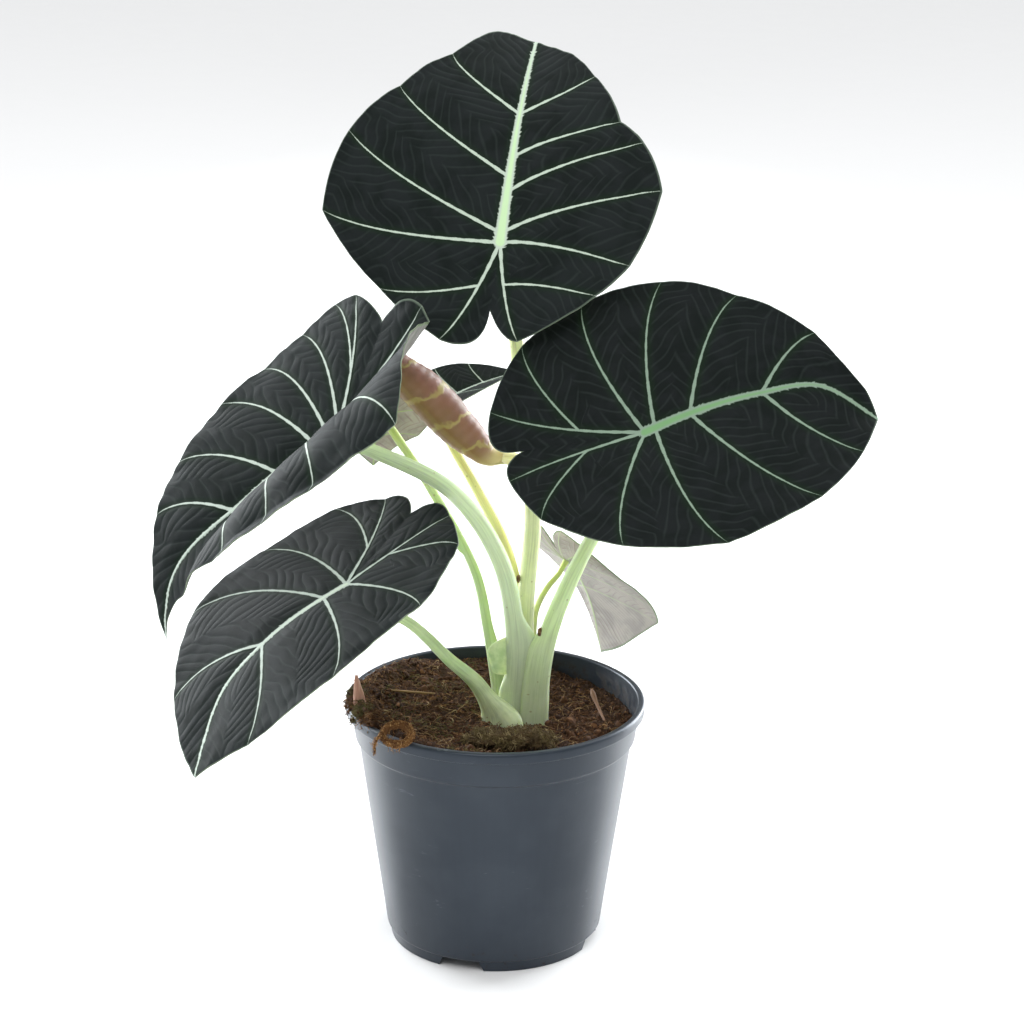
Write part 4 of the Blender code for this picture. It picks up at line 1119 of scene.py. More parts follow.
class ALOCASIA_OT_stalks(bpy.types.Operator):
    """Adds the leaf stalks with their sheaths, and the stem that they grow from"""
    bl_idname = "alocasia.stalks"
    bl_label = "Stalks"

    def execute(self, context):
        options = settings("stalk")
        low, middle, high = tuple(options.low), tuple(options.middle), tuple(options.high)
        skins = {
            "left_upper": stalk_skin("stalk_skin_pale", low, (0.58, 0.72, 0.44), (0.60, 0.76, 0.42)),
            "left_lower": stalk_skin("stalk_skin_low", (0.68, 0.76, 0.48), (0.54, 0.72, 0.36), high),
            "right": stalk_skin("stalk_skin_green", low, middle, (0.58, 0.78, 0.36)),
            "top": stalk_skin("stalk_skin_lime", (0.70, 0.72, 0.46), (0.70, 0.77, 0.44), (0.82, 0.88, 0.50)),
            "back_left": stalk_skin("stalk_skin_young", low, (0.52, 0.70, 0.32), (0.64, 0.78, 0.24)),
            "back_curved": stalk_skin("stalk_skin_yellow", (0.60, 0.66, 0.34), (0.80, 0.79, 0.36),
                                      (0.88, 0.86, 0.42)),
            "back_right": stalk_skin("stalk_skin_thin", low, (0.60, 0.70, 0.30), (0.68, 0.78, 0.28))}
        for which, skin in skins.items():
            mesh = stalk_mesh(f"petiole_{which}", stalk_points(which), SHEATHS[which])
            add_piece(f"petiole_{which}", mesh, [skin], [f"stalk_{which}"])
        flap = [[(0.0066, -0.0040, 0.1300), (0.0036, -0.0044, 0.1286), (0.0016, -0.0042, 0.1274)],
                [(0.0062, -0.0046, 0.1246), (0.0010, -0.0046, 0.1246), (-0.0040, -0.0036, 0.1236)],
                [(0.0060, -0.0050, 0.1190), (0.0014, -0.0052, 0.1189), (-0.0026, -0.0042, 0.1186)],
                [(0.0060, -0.0056, 0.1120), (0.0022, -0.0060, 0.1128), (-0.0010, -0.0052, 0.1132)]]
        membrane = mottled_skin("sheath_membrane", ((0.56, 0.66, 0.44), (0.42, 0.54, 0.32)), 2400.0, 260.0,
                                (0.4, 0.6), (0.0002, 0.6), Subsurface_Weight=0.6,
                                Subsurface_Radius=(1.0, 1.0, 0.5), Subsurface_Scale=0.0015)
        add_piece("sheath_flap", sheet_flap("sheath_flap", flap, 0.0006, 0.0007), [membrane])
        scars = [("sheath_scar_top", (0.0087, 0.0032, 0.1504), (0.0008, 0.0010, 0.0017)),
                 ("sheath_scar_right", (0.0174, -0.0082, 0.1318), (0.0009, 0.0009, 0.0024))]
        dry = mottled_skin("dry_sheath_edge", ((0.085, 0.045, 0.020), (0.30, 0.19, 0.08)), 2200.0, 420.0,
                           (0.65, 0.9), (0.0003, 0.9), Specular_IOR_Level=0.2)
        for name, place, size in scars:
            add_piece(name, lump_mesh(name, place, size, 2.7), [dry])
        bark = stalk_skin("stem_skin", (0.20, 0.17, 0.09), (0.30, 0.30, 0.16), (0.26, 0.24, 0.12))
        add_piece("stem_base", stem_mesh(), [bark], ["crown"])
        return {"FINISHED"}


def lump_mesh(name, place, size, seed, detail=3, rough=0.28):
    """A rough lump round a place, reaching as far as size says along each axis."""
    def swollen(work):
        bmesh.ops.create_icosphere(work, subdivisions=detail, radius=1.0)
        for vert in work.verts:
            way = vert.co.normalized()
            swell = 1 + rough * fractal(way * 2.1 + Vector((seed, -seed, seed)), 0.7, 2.0, 4)
            vert.co = Vector([c + s * w * swell for c, s, w in zip(place, size, way)])
    return reworked(bpy.data.meshes.new(name), swollen)


def stem_mesh():
    """The short ringed stem, nearly all of it in the mix."""
    low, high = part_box("crown")
    x, y, _ = middle_of("crown")
    reach = (high[0] - low[0]) / 2
    profile = ((low[2], 0.62), (low[2] + 0.003, 0.80), (low[2] + 0.007, 0.74), (high[2] - 0.001, 0.58),
               (high[2] + 0.0004, 0.30))
    return stalk_mesh("stem_base", [(x, y, z, reach * share) for z, share in profile], [], 48, 8)


# ---- rolled young leaf ----

ROLLED_STALK = [(0.0120, 0.0105, 0.1380, 0.0014), (0.0126, 0.0128, 0.1600, 0.0018),
                (0.0131, 0.0150, 0.1760, 0.0020), (0.0112, 0.0155, 0.1895, 0.0024),
                (0.0073, 0.0145, 0.1962, 0.0027), (0.0010, 0.0130, 0.1978, 0.0026)]
ROLLED_BLADE = [(0.0030, 0.0131, 0.1976, 0.0024), (-0.0040, 0.0120, 0.1990, 0.0044),
                (-0.0100, 0.0105, 0.2048, 0.0064), (-0.0172, 0.0080, 0.2125, 0.0078),
                (-0.0268, 0.0045, 0.2244, 0.0082), (-0.0358, 0.0010, 0.2340, 0.0070),
                (-0.0424, -0.0010, 0.2418, 0.0040), (-0.0468, -0.0010, 0.2468, 0.0007)]
ROLL_LIP = 0.13  # how far the free edge stands out, as a part of the radius
ROLL_SEAM = -50.0  # where the free edge runs, in degrees round the roll


def rolled_mesh():
    """A young leaf rolled up on itself: a spiral section whose free edge shows as a lip along the side."""
    sides, parts = 96, 16
    share = np.concatenate([np.linspace(0, 0.955, sides - 5), [0.972, 0.984, 0.990, 0.995, 0.999]])
    angles = share * 2 * math.pi + math.radians(ROLL_SEAM)
    fall = np.clip((1.0 - share) / 0.03, 0, 1)
    rings, runs = [], []
    for place, radius, ways, run in along_path(ROLLED_BLADE, parts, (0.0, 1.0, 0.0)):
        wave = 0.02 * math.sin(run * 420)
        lift = np.clip((share - 0.25) / 0.70, 0, 1) ** 1.6 * (ROLL_LIP + wave)
        veins = 0.012 * np.cos(run * 1500 + 3.2 * np.cos(angles))
        rings.append(ring_at(place, ways, angles, radius * (0.96 + lift * fall + veins)))
        runs.append(run / MM)
    rises = np.linspace(0, 1, len(runs))
    notes = [np.stack([share, np.full(sides, run), np.full(sides, rise)], 1)
             for run, rise in zip(runs, rises)]
    mesh = ring_tube(rings, "rolled_leaf")
    store(mesh, "roll", np.concatenate(notes + [[[0, 0, 0]], [[0, runs[-1], 1.0]]]))
    return mesh


def rolled_skin():
    """Maroon and olive, with a yellow edge and a few soft bands across."""
    def recipe(nodes):
        share, run, rise = nodes.split(nodes.attribute("roll"))
        marks = nodes.grain(nodes.place(), 2400.0, 130.0)
        wobble = nodes.times(nodes.noise(nodes.place(), 160.0, 2.0), 2.4)
        fold = nodes.apart(share, 0.55)
        phase = nodes.add(nodes.times(run, 0.062), nodes.times(fold, 1.5), nodes.times(wobble, 0.30))
        phase = nodes.math("FRACT", phase)
        band = nodes.smooth(nodes.apart(phase, 0.5), 0.13, 0.01)
        rib = nodes.smooth(fold, 0.035, 0.012)
        edge = nodes.smooth(share, 0.93, 0.985)
        ground = nodes.mix(marks["Blotch"], (0.225, 0.100, 0.070), (0.170, 0.080, 0.050))
        olive = nodes.smooth(nodes.add(share, nodes.times(wobble, 0.06)), 0.88, 0.62)
        ground = nodes.mix(olive, ground, (0.205, 0.115, 0.034))
        ground = nodes.mix(nodes.smooth(rise, 0.26, 0.04), ground, (0.62, 0.52, 0.24))
        colour = nodes.mix(nodes.times(band, 0.70), ground, (0.36, 0.31, 0.085))
        colour = nodes.mix(nodes.times(rib, 0.2), colour, (0.34, 0.30, 0.11))
        colour = nodes.mix(edge, colour, (0.62, 0.56, 0.22))
        height = nodes.add(nodes.times(band, 0.8), nodes.times(marks["Grain"], 0.25))
        return skin_values(nodes, colour, marks["Grain"], (0.38, 0.55), height, (0.0003, 0.7))
    return finish_of("rolled_leaf_skin", recipe, Subsurface_Weight=0.35, Subsurface_Radius=(1.0, 0.5, 0.25),
                     Subsurface_Scale=0.0015, Specular_IOR_Level=0.4)


class ALOCASIA_OT_rolled_leaf(bpy.types.Operator):
    """Adds the young leaf that is still rolled up, with its hooked stalk"""
    bl_idname = "alocasia.rolled_leaf"
    bl_label = "Rolled leaf"

    def execute(self, context):
        add_piece("rolled_leaf", rolled_mesh(), [rolled_skin()], ["blade_rolled"])
        mesh = stalk_mesh("petiole_rolled", ROLLED_STALK, [(-60, 40, 0.0016, 0.2100, 0.1990, 0.0)])
        skin = stalk_skin("stalk_skin_hook", (0.66, 0.66, 0.30), (0.82, 0.78, 0.42), (0.88, 0.82, 0.46), 0.2)
        add_piece("petiole_rolled", mesh, [skin], ["stalk_rolled"])
        return {"FINISHED"}


# ---- pot ----

POT_HEIGHT = 0.101
RIM_RADIUS = 0.060
LIP_HEIGHT = 0.0045
LIP_OVERHANG = 0.0022
WALL = 0.0012
STEP_BELOW_RIM = 0.0155
STEP_DEPTH = 0.0012
STEP_SLANT = 0.0010
BASE_RADIUS = 0.0435
FOOT_HEIGHT = 0.0050
FOOT_RADIUS = 0.0425
FLOOR_THICKNESS = 0.0014
PAD_RADIUS = 0.0100
NOTCH_HEIGHT = 0.0042
NOTCH_WIDTH = 0.0200
NOTCH_TURN = -108.0
DRAIN_RADIUS = 0.0035
DRAIN_RING = 0.0290


def wall_radius(z):
    """Outside of the pot's wall at height z."""
    lip_base, step = POT_HEIGHT - LIP_HEIGHT, POT_HEIGHT - STEP_BELOW_RIM
    slope = (RIM_RADIUS - LIP_OVERHANG - BASE_RADIUS - STEP_DEPTH) / (lip_base - FOOT_HEIGHT)
    return BASE_RADIUS + slope * (z - FOOT_HEIGHT) + (STEP_DEPTH if z > step else 0.0)


def rounded(corners, radius, parts=4):
    """A profile with its inner corners rounded; a corner may carry its own radius."""
    points = [corners[0][:2]]
    for before, here, after in zip(corners, corners[1:], corners[2:]):
        size = here[2] if len(here) > 2 else radius
        a, b, c = (np.array(p[:2], float) for p in (before, here, after))
        one, two = a - b, c - b
        size = min(size, 0.48 * np.linalg.norm(one), 0.48 * np.linalg.norm(two))
        start, end = b + one / np.linalg.norm(one) * size, b + two / np.linalg.norm(two) * size
        for k in range(parts + 1):
            t = k / parts
            points.append(tuple((1 - t) ** 2 * start + 2 * t * (1 - t) * b + t * t * end))
    points.append(corners[-1][:2])
    return points


def pot_mesh():
    """The pot's turned profile, with notches cut in its foot ring and drain holes in its floor."""
    lip_base, step = POT_HEIGHT - LIP_HEIGHT, POT_HEIGHT - STEP_BELOW_RIM
    floor_top = FOOT_HEIGHT + FLOOR_THICKNESS
    middle = (floor_top + step) / 2
    foot_low = FOOT_RADIUS - 0.0006
    corners = [
        (0.0, floor_top), (wall_radius(floor_top) - WALL, floor_top, 0.0010),
        (wall_radius(middle) - WALL, middle),
        (wall_radius(step - STEP_SLANT) - WALL, step - STEP_SLANT),
        (wall_radius(step + STEP_SLANT) - WALL, step + STEP_SLANT),
        (wall_radius(POT_HEIGHT) - WALL, POT_HEIGHT, 0.0007), (RIM_RADIUS, POT_HEIGHT, 0.0013),
        (RIM_RADIUS, lip_base, 0.0008), (wall_radius(lip_base), lip_base, 0.0004),
        (wall_radius(step + STEP_SLANT / 2), step + STEP_SLANT / 2, 0.0006),
        (wall_radius(step - STEP_SLANT / 2), step - STEP_SLANT / 2, 0.0006),
        (wall_radius(middle), middle), (BASE_RADIUS, FOOT_HEIGHT, 0.0007),
        (FOOT_RADIUS, FOOT_HEIGHT - 0.0006, 0.0003), (foot_low, 0.0, 0.0004),
        (foot_low - WALL, 0.0, 0.0004), (FOOT_RADIUS - WALL, FOOT_HEIGHT, 0.0004),
        (PAD_RADIUS + 0.0010, FOOT_HEIGHT, 0.0004), (PAD_RADIUS, 0.0, 0.0004), (0.0, 0.0)]
    profile = rounded(corners, 0.0003)
    edges = [(i, i + 1) for i in range(len(profile) - 1)]
    mesh = new_mesh("pot_profile", [(x, 0.0, z) for x, z in profile], [], edges)
    steps = settings("pot").steps
    turned = baked("pot_turned", mesh, [("SCREW", dict(steps=steps, render_steps=steps, axis="Z",
                                                       use_merge_vertices=True, merge_threshold=0.00001))])
    cutters = [wedge_mesh(math.radians(NOTCH_TURN + 90.0 * i)) for i in range(4)]
    cutters += [drain_bar(math.radians(NOTCH_TURN + 45.0 * (i + 0.5))) for i in range(8)]
    tools = [in_scene("cutter_work", cutter) for cutter in cutters]
    result = baked("nursery_pot", turned,
                   [("BOOLEAN", dict(operation="DIFFERENCE", solver="EXACT", object=tool)) for tool in tools])
    for tool in tools:
        bpy.data.objects.remove(tool, do_unlink=True)

    def clean(work):
        bmesh.ops.remove_doubles(work, verts=work.verts, dist=1e-6)
        face_outwards(work)
    reworked(result, clean)
    result.polygons.foreach_set("use_smooth", [True] * len(result.polygons))
    result.set_sharp_from_angle(angle=math.radians(38))
    inside = [float(point.co.xy.length < wall_radius(point.co.z) - WALL / 2 and point.co.z > FOOT_HEIGHT)
              for point in result.vertices]
    store(result, "inside", inside, "FLOAT")
    return result


def drain_bar(angle):
    """A round bar that cuts one drain hole."""
    def bar(work):
        bmesh.ops.create_cone(work, cap_ends=True, segments=40, radius1=DRAIN_RADIUS, radius2=DRAIN_RADIUS,
                              depth=0.006)
        bmesh.ops.translate(work, verts=work.verts, vec=(DRAIN_RING * math.cos(angle),
                                                         DRAIN_RING * math.sin(angle), FOOT_HEIGHT))
    return reworked(bpy.data.meshes.new("drain_bar"), bar)


def wedge_mesh(angle):
    """A wedge that narrows upwards, set across the foot ring."""
    low, high = NOTCH_WIDTH / 2, NOTCH_WIDTH / 2 - NOTCH_HEIGHT * 0.6
    corners = []
    for radius in (FOOT_RADIUS - 0.0085, FOOT_RADIUS + 0.0100):
        for across, z in ((-low, -0.001), (low, -0.001), (high, NOTCH_HEIGHT), (-high, NOTCH_HEIGHT)):
            corners.append((radius * math.cos(angle) - across * math.sin(angle),
                            radius * math.sin(angle) + across * math.cos(angle), z))
    faces = [(0, 1, 2, 3), (7, 6, 5, 4), (0, 4, 5, 1), (1, 5, 6, 2), (2, 6, 7, 3), (3, 7, 4, 0)]
    return reworked(new_mesh("notch_wedge", corners, faces), face_outwards)


def pot_skin(colour):
    """Moulded plastic: faint flow streaks up the wall, dust, scuffs, and soil caught at the foot and lip."""
    def recipe(nodes):
        place = nodes.place()
        x, y, z = nodes.split(place)
        turn = nodes.math("ARCTAN2", y, x)
        around = nodes.join(nodes.times(nodes.math("COSINE", turn), 0.05),
                            nodes.times(nodes.math("SINE", turn), 0.05), nodes.times(z, 0.06))
        flow = nodes.noise(around, 420.0, 3.0, 0.6)
        marks = nodes.grain(place, 2600.0, 38.0)
        scratch = nodes.noise(nodes.join(nodes.times(turn, 0.6), nodes.times(turn, 0.1),
                                         nodes.times(z, 60.0)), 7.0, 6.0, 0.7, 0.4)
        scuffs = nodes.times(nodes.smooth(scratch, 0.63, 0.70), marks["Blotch"])
        duller, brighter = ([share * c for c in colour] for share in (0.97, 1.04))
        tone = nodes.mix(nodes.smooth(flow, 0.30, 0.72), duller, brighter)
        tone = nodes.mix(nodes.times(marks["Blotch"], 0.06), tone, (0.115, 0.130, 0.150))
        tone = nodes.mix(nodes.times(scuffs, 0.25), tone, (0.19, 0.21, 0.24))
        foot = nodes.smooth(z, 0.017, 0.004)
        lip = nodes.smooth(nodes.apart(z, POT_HEIGHT - LIP_HEIGHT), 0.0022, 0.0002)
        low = nodes.smooth(nodes.noise(place, 330.0, 5.0, 0.7), 0.60, 0.68)
        soil = nodes.times(low, nodes.math("MAXIMUM", foot, nodes.times(lip, 0.5)))
        tone = nodes.mix(nodes.times(soil, 0.75), tone, (0.030, 0.020, 0.014))
        inner = nodes.attribute("inside", "Fac")
        stain = nodes.times(inner, nodes.smooth(z, POT_HEIGHT - 0.0015, POT_HEIGHT - 0.0055),
                            nodes.smooth(nodes.noise(place, 240.0, 4.0, 0.65), 0.42, 0.60))
        tone = nodes.mix(nodes.times(stain, 0.7), tone, (0.026, 0.017, 0.012))
        rough = nodes.blend(marks["Grain"], 0.30, 0.40)
        rough = nodes.add(rough, nodes.times(nodes.math("MAXIMUM", soil, stain), 0.4))
        height = nodes.add(nodes.times(marks["Grain"], 0.2), nodes.times(flow, 0.25), soil)
        return {"Base Color": tone, "Roughness": rough, "Normal": nodes.bump(height, 0.00008, 0.5)}
    return finish_of("slate_nursery_plastic", recipe, Specular_IOR_Level=0.42,
                     Specular_Tint=(0.78, 0.89, 1.0))


class ALOCASIA_OT_pot(bpy.types.Operator):
    """Adds the nursery pot with its lip, step, foot notches and drain holes"""
    bl_idname = "alocasia.pot"
    bl_label = "Nursery pot"

    def execute(self, context):
        add_piece("nursery_pot", pot_mesh(), [pot_skin(tuple(settings("pot").plastic))], ["pot"],
                  smooth=False)
        return {"FINISHED"}


# ---- potting mix ----

MIX_BELOW_RIM = 0.0062
MIX_HEAP = 0.0048
MIX_HEAP_TURN = 175.0
BANK_HEIGHT = 0.0042  # of the mix that lies against the rim at the left
BANK_TURN = 198.0
BANK_RADIUS = 0.053
MIX_RINGS, MIX_SIDES = 74, 260
CROWN_X, CROWN_Y = 0.0065, -0.0005
MIX_EDGE = wall_radius(POT_HEIGHT - STEP_BELOW_RIM + STEP_SLANT) - WALL - 0.0001


def heap_at(x, y):
    """How much higher than in the middle the mix lies at (x, y)."""
    reach = min(math.hypot(x, y) / RIM_RADIUS, 1.0)
    return MIX_HEAP * reach * math.cos(math.atan2(y, x) - math.radians(MIX_HEAP_TURN))


def mix_top(x, y):
    """Height of the potting mix at (x, y), lumps included."""
    lump = settings("mix").lump
    coarse = noise(Vector((x * 120, y * 120, 0.4)))
    fine = fractal(Vector((x * 420, y * 420, 1.7)), 0.85, 2.1, 4)
    near_stem = math.exp(-(math.hypot(x - CROWN_X, y - CROWN_Y) / 0.016) ** 2)
    facing = max(0.0, math.cos(math.atan2(y, x) - math.radians(BANK_TURN))) ** 0.6
    bank = BANK_HEIGHT * math.exp(-((math.hypot(x, y) - BANK_RADIUS) / 0.007) ** 2) * facing
    return (POT_HEIGHT - MIX_BELOW_RIM + heap_at(x, y) + lump * (0.7 * coarse + 0.5 * fine)
            - 0.0012 * near_stem + bank)


def mix_mesh(top_only=False):
    """The filling of the pot: its lumpy top and, unless top_only, its sides and underside."""
    edge = MIX_EDGE + (0.0 if top_only else 0.0008)
    rings = [(edge * k / MIX_RINGS, None) for k in range(1, MIX_RINGS + 1)]
    if not top_only:
        low, step = FOOT_HEIGHT + FLOOR_THICKNESS + 0.0002, POT_HEIGHT - STEP_BELOW_RIM
        rings += [(MIX_EDGE - 0.0002, step + 0.0020),
                  (wall_radius(step - STEP_SLANT) - WALL - 0.0002, step - STEP_SLANT),
                  (wall_radius(low) - WALL - 0.0002, low)]
    verts = [(0.0, 0.0, mix_top(0.0, 0.0))]
    for radius, z in rings:
        for i in range(MIX_SIDES):
            angle = 2 * math.pi * i / MIX_SIDES
            x, y = radius * math.cos(angle), radius * math.sin(angle)
            verts.append((x, y, mix_top(x, y) if z is None else z))
    faces = [(0, 1 + i, 1 + (i + 1) % MIX_SIDES) for i in range(MIX_SIDES)]
    faces += [(a, d, c, b) for a, b, c, d in grid_faces(len(rings), MIX_SIDES, 1)]
    if not top_only:
        last = 1 + (len(rings) - 1) * MIX_SIDES
        faces += [(last + (i + 1) % MIX_SIDES, last + i, len(verts)) for i in range(MIX_SIDES)]
        verts.append((0.0, 0.0, rings[-1][1]))
    return new_mesh("mix", verts, faces)


def peat_skin():
    """Moist peat with paler fibre, mossy patches and painted shade in its pits."""
    options = settings("mix")
    dark, light = tuple(options.dark), tuple(options.light)

    def recipe(nodes):
        place = nodes.place()
        marks = nodes.grain(place, 1500.0, 140.0)
        bits = nodes.cells(nodes.vector("MULTIPLY", place, (1.0, 1.0, 1.6)), 620.0)
        colour = nodes.mix(marks["Blotch"], dark, (0.052, 0.026, 0.014))
        colour = nodes.mix(nodes.smooth(nodes.noise(place, 520.0, 4.0, 0.7), 0.56, 0.72), colour, light)
        mossy = nodes.smooth(nodes.noise(place, 55.0, 3.0, 0.6), 0.58, 0.70)
        colour = nodes.mix(nodes.times(mossy, 0.55), colour, (0.075, 0.062, 0.020))
        # Painted shade: the middles of the cells, which the bump sinks into pits, are darkened nearly to
        # black.
        colour = nodes.mix(nodes.smooth(bits, 0.22, 0.05, 0.0, 0.5), colour, (0.010, 0.006, 0.004))
        height = nodes.add(marks["Grain"], nodes.times(bits, 1.2))
        return skin_values(nodes, colour, marks["Grain"], (0.80, 0.98), height, (0.0008, 1.0))
    return finish_of("moist_peat", recipe, Specular_IOR_Level=0.18)


# Each litter's common tone, its second tone and the tone of its odd bits.
LITTER = {
    "peat_crumbs": ((0.034, 0.017, 0.010), (0.085, 0.040, 0.019), (0.165, 0.080, 0.036)),
    "coir_threads": ((0.145, 0.070, 0.029), (0.080, 0.040, 0.019), (0.32, 0.18, 0.075)),
    "pale_threads": ((0.25, 0.16, 0.075), (0.15, 0.090, 0.040), (0.42, 0.32, 0.17)),
    "moss_threads": ((0.085, 0.072, 0.024), (0.130, 0.110, 0.042), (0.052, 0.050, 0.018)),
    "moss_mound": ((0.070, 0.045, 0.020), (0.110, 0.070, 0.030), (0.035, 0.020, 0.010)),
    "moss_hair": ((0.125, 0.095, 0.038), (0.080, 0.052, 0.024), (0.26, 0.20, 0.10)),
    "coir_core": ((0.10, 0.045, 0.016), (0.16, 0.075, 0.028), (0.05, 0.02, 0.01)),
    "coir_curl": ((0.27, 0.130, 0.042), (0.11, 0.050, 0.020), (0.50, 0.30, 0.12)),
}


def litter_skin(name, patch=130.0):
    """Skin of loose litter, each bit a little different from the next."""
    common, second, odd = LITTER[name]

    def recipe(nodes):
        place = nodes.place()
        marks = nodes.grain(place, 900.0, 190.0)
        pick = nodes.noise(place, patch, 2.0, 0.6)
        colour = nodes.mix(nodes.smooth(pick, 0.38, 0.62), common, second)
        colour = nodes.mix(nodes.smooth(nodes.noise(place, 2.4 * patch, 2.0), 0.56, 0.66), colour, odd)
        return skin_values(nodes, colour, marks["Grain"], (0.72, 0.95), marks["Grain"], (0.0003, 0.9))
    return finish_of(name, recipe, Specular_IOR_Level=0.2)


def random_value(nodes, low, high, seed, vector=False):
    """A value or vector between low and high, drawn anew for each point."""
    first, kind = (0, "FLOAT_VECTOR") if vector else (2, "FLOAT")
    values = {first: low, first + 1: high, 8: seed}
    return nodes.node("FunctionNodeRandomValue", values, data_type=kind).outputs[0 if vector else 1]


def scatter_tree(name, kind):
    """Geometry nodes that strew fibres or crumbs over a surface, each turned, sized and bent by chance."""
    tree = bpy.data.node_groups.new(name, "GeometryNodeTree")
    sockets = [("Surface", "NodeSocketGeometry", None), ("Density", "NodeSocketFloat", 100.0),
               ("Length", "NodeSocketFloat", 0.006), ("Thickness", "NodeSocketFloat", 0.0002),
               ("Tilt", "NodeSocketFloat", 0.5), ("Bend", "NodeSocketFloat", 0.002),
               ("Seed", "NodeSocketInt", 1), ("Skin", "NodeSocketMaterial", None)]
    for label, socket_kind, default in sockets:
        socket = tree.interface.new_socket(label, in_out="INPUT", socket_type=socket_kind)
        if default is not None:
            socket.default_value = default
    tree.interface.new_socket("Pieces", in_out="OUTPUT", socket_type="NodeSocketGeometry")
    nodes = Nodes(tree)
    given = nodes.node("NodeGroupInput").outputs
    result = nodes.node("NodeGroupOutput")
    points = nodes.node("GeometryNodeDistributePointsOnFaces",
                        {"Mesh": given["Surface"], "Seed": given["Seed"]}, distribute_method="RANDOM")
    density = next(socket for socket in points.inputs if socket.name == "Density" and socket.enabled)
    nodes.put(density, given["Density"])
    if kind == "fibre":
        half = nodes.times(given["Length"], 0.5)
        arch = nodes.times(given["Length"], 0.22)
        curve = nodes.node("GeometryNodeCurveQuadraticBezier", {
            "Resolution": 9, "Start": nodes.join(nodes.times(half, -1.0), 0.0, 0.0),
            "Middle": nodes.join(0.0, arch, arch), "End": nodes.join(half, 0.0, 0.0)}).outputs[0]
        ring = nodes.node("GeometryNodeCurvePrimitiveCircle", {"Resolution": 4, "Radius": given["Thickness"]})
        bit = nodes.node("GeometryNodeCurveToMesh", {"Curve": curve, "Profile Curve": ring.outputs[0],
                                                     "Fill Caps": True}).outputs[0]
        low, high = (0.5, 0.6, 0.6), (1.5, 1.5, 1.5)
    else:
        ball = nodes.node("GeometryNodeMeshIcoSphere", {"Radius": given["Length"], "Subdivisions": 2})
        flat = {"Geometry": ball.outputs[0], "Scale": (1.0, 0.72, 0.52)}
        bit = nodes.node("GeometryNodeTransform", flat).outputs[0]
        low, high = (0.35, 0.35, 0.35), (1.35, 1.35, 1.35)
    tilt = nodes.times(given["Tilt"], -1.0)
    turn = nodes.join(random_value(nodes, tilt, given["Tilt"], 11),
                      random_value(nodes, tilt, given["Tilt"], 12),
                      random_value(nodes, 0.0, 2 * math.pi, 13))
    laid = nodes.node("GeometryNodeInstanceOnPoints", {
        "Points": points.outputs["Points"], "Instance": bit, "Rotation": turn,
        "Scale": random_value(nodes, low, high, 14, vector=True)}).outputs[0]
    real = nodes.node("GeometryNodeRealizeInstances", {0: laid}).outputs[0]
    where = nodes.node("GeometryNodeInputPosition").outputs[0]
    stir = nodes.node("ShaderNodeTexNoise", {"Vector": where, "Scale": 230.0 if kind == "fibre" else 520.0,
                                             "Detail": 2.0}).outputs[1]
    push = nodes.node("ShaderNodeVectorMath", {0: nodes.vector("SUBTRACT", stir, (0.5, 0.5, 0.5)),
                                               3: given["Bend"]}, operation="SCALE").outputs[0]
    moved = nodes.node("GeometryNodeSetPosition", {"Geometry": real, "Offset": push}).outputs[0]
    soft = nodes.node("GeometryNodeSetShadeSmooth", {0: moved}).outputs[0]
    skinned = nodes.node("GeometryNodeSetMaterial", {"Geometry": soft, "Material": given["Skin"]}).outputs[0]
    nodes.put(result.inputs[0], skinned)
    return tree


def scattered(name, surface, tree, skin, slot, **inputs):
    """A piece made by strewing bits over a surface with a geometry node tree."""
    obj = in_scene(name + "_work", surface)
    step = obj.modifiers.new("Scatter", "NODES")
    step.node_group = tree
    ids = {item.name: item.identifier for item in tree.interface.items_tree if item.in_out == "INPUT"}
    for key, value in {**inputs, "Skin": skin}.items():
        step[ids[key]] = value
    mesh = plain_mesh(obj, name)
    if not len(mesh.polygons):
        raise RuntimeError(f"{name} came out empty")
    return add_piece(name, mesh, [skin])


def patch_of(mesh, keep):
    """A copy of the mix's top with only the faces whose middle passes keep(x, y)."""
    def cut(work):
        gone = [face for face in work.faces if not keep(*face.calc_center_median()[:2])]
        bmesh.ops.delete(work, geom=gone, context="FACES")
    return reworked(mesh.copy(), cut)


def clear_of_stem(x, y):
    """Whether nothing strewn at (x, y) lies on the stem."""
    return math.hypot(x - CROWN_X, (y - CROWN_Y) * 1.25) > 0.0125


def off_the_wall(x, y):
    """Far enough from the pot's wall that fibres don't reach through it."""
    return clear_of_stem(x, y) and math.hypot(x, y) < (0.0545 if x < -0.03 else 0.0515)


def is_mossy(x, y):
    """Whether moss grows at (x, y), in patches at the left."""
    return noise(Vector((x * 70, y * 70, 5.0))) > 0.05 and x < 0.012


# Lumps of mix on the rim at the left: direction from the middle in degrees, distance from it and height.
PEAT_BANKS = ((172, 0.0540, 0.0030), (181, 0.0552, 0.0036), (190, 0.0560, 0.0038), (199, 0.0558, 0.0034),
              (208, 0.0550, 0.0024))
BANK_REACH = (0.0036, 0.0056)  # of a lump, along X and Y


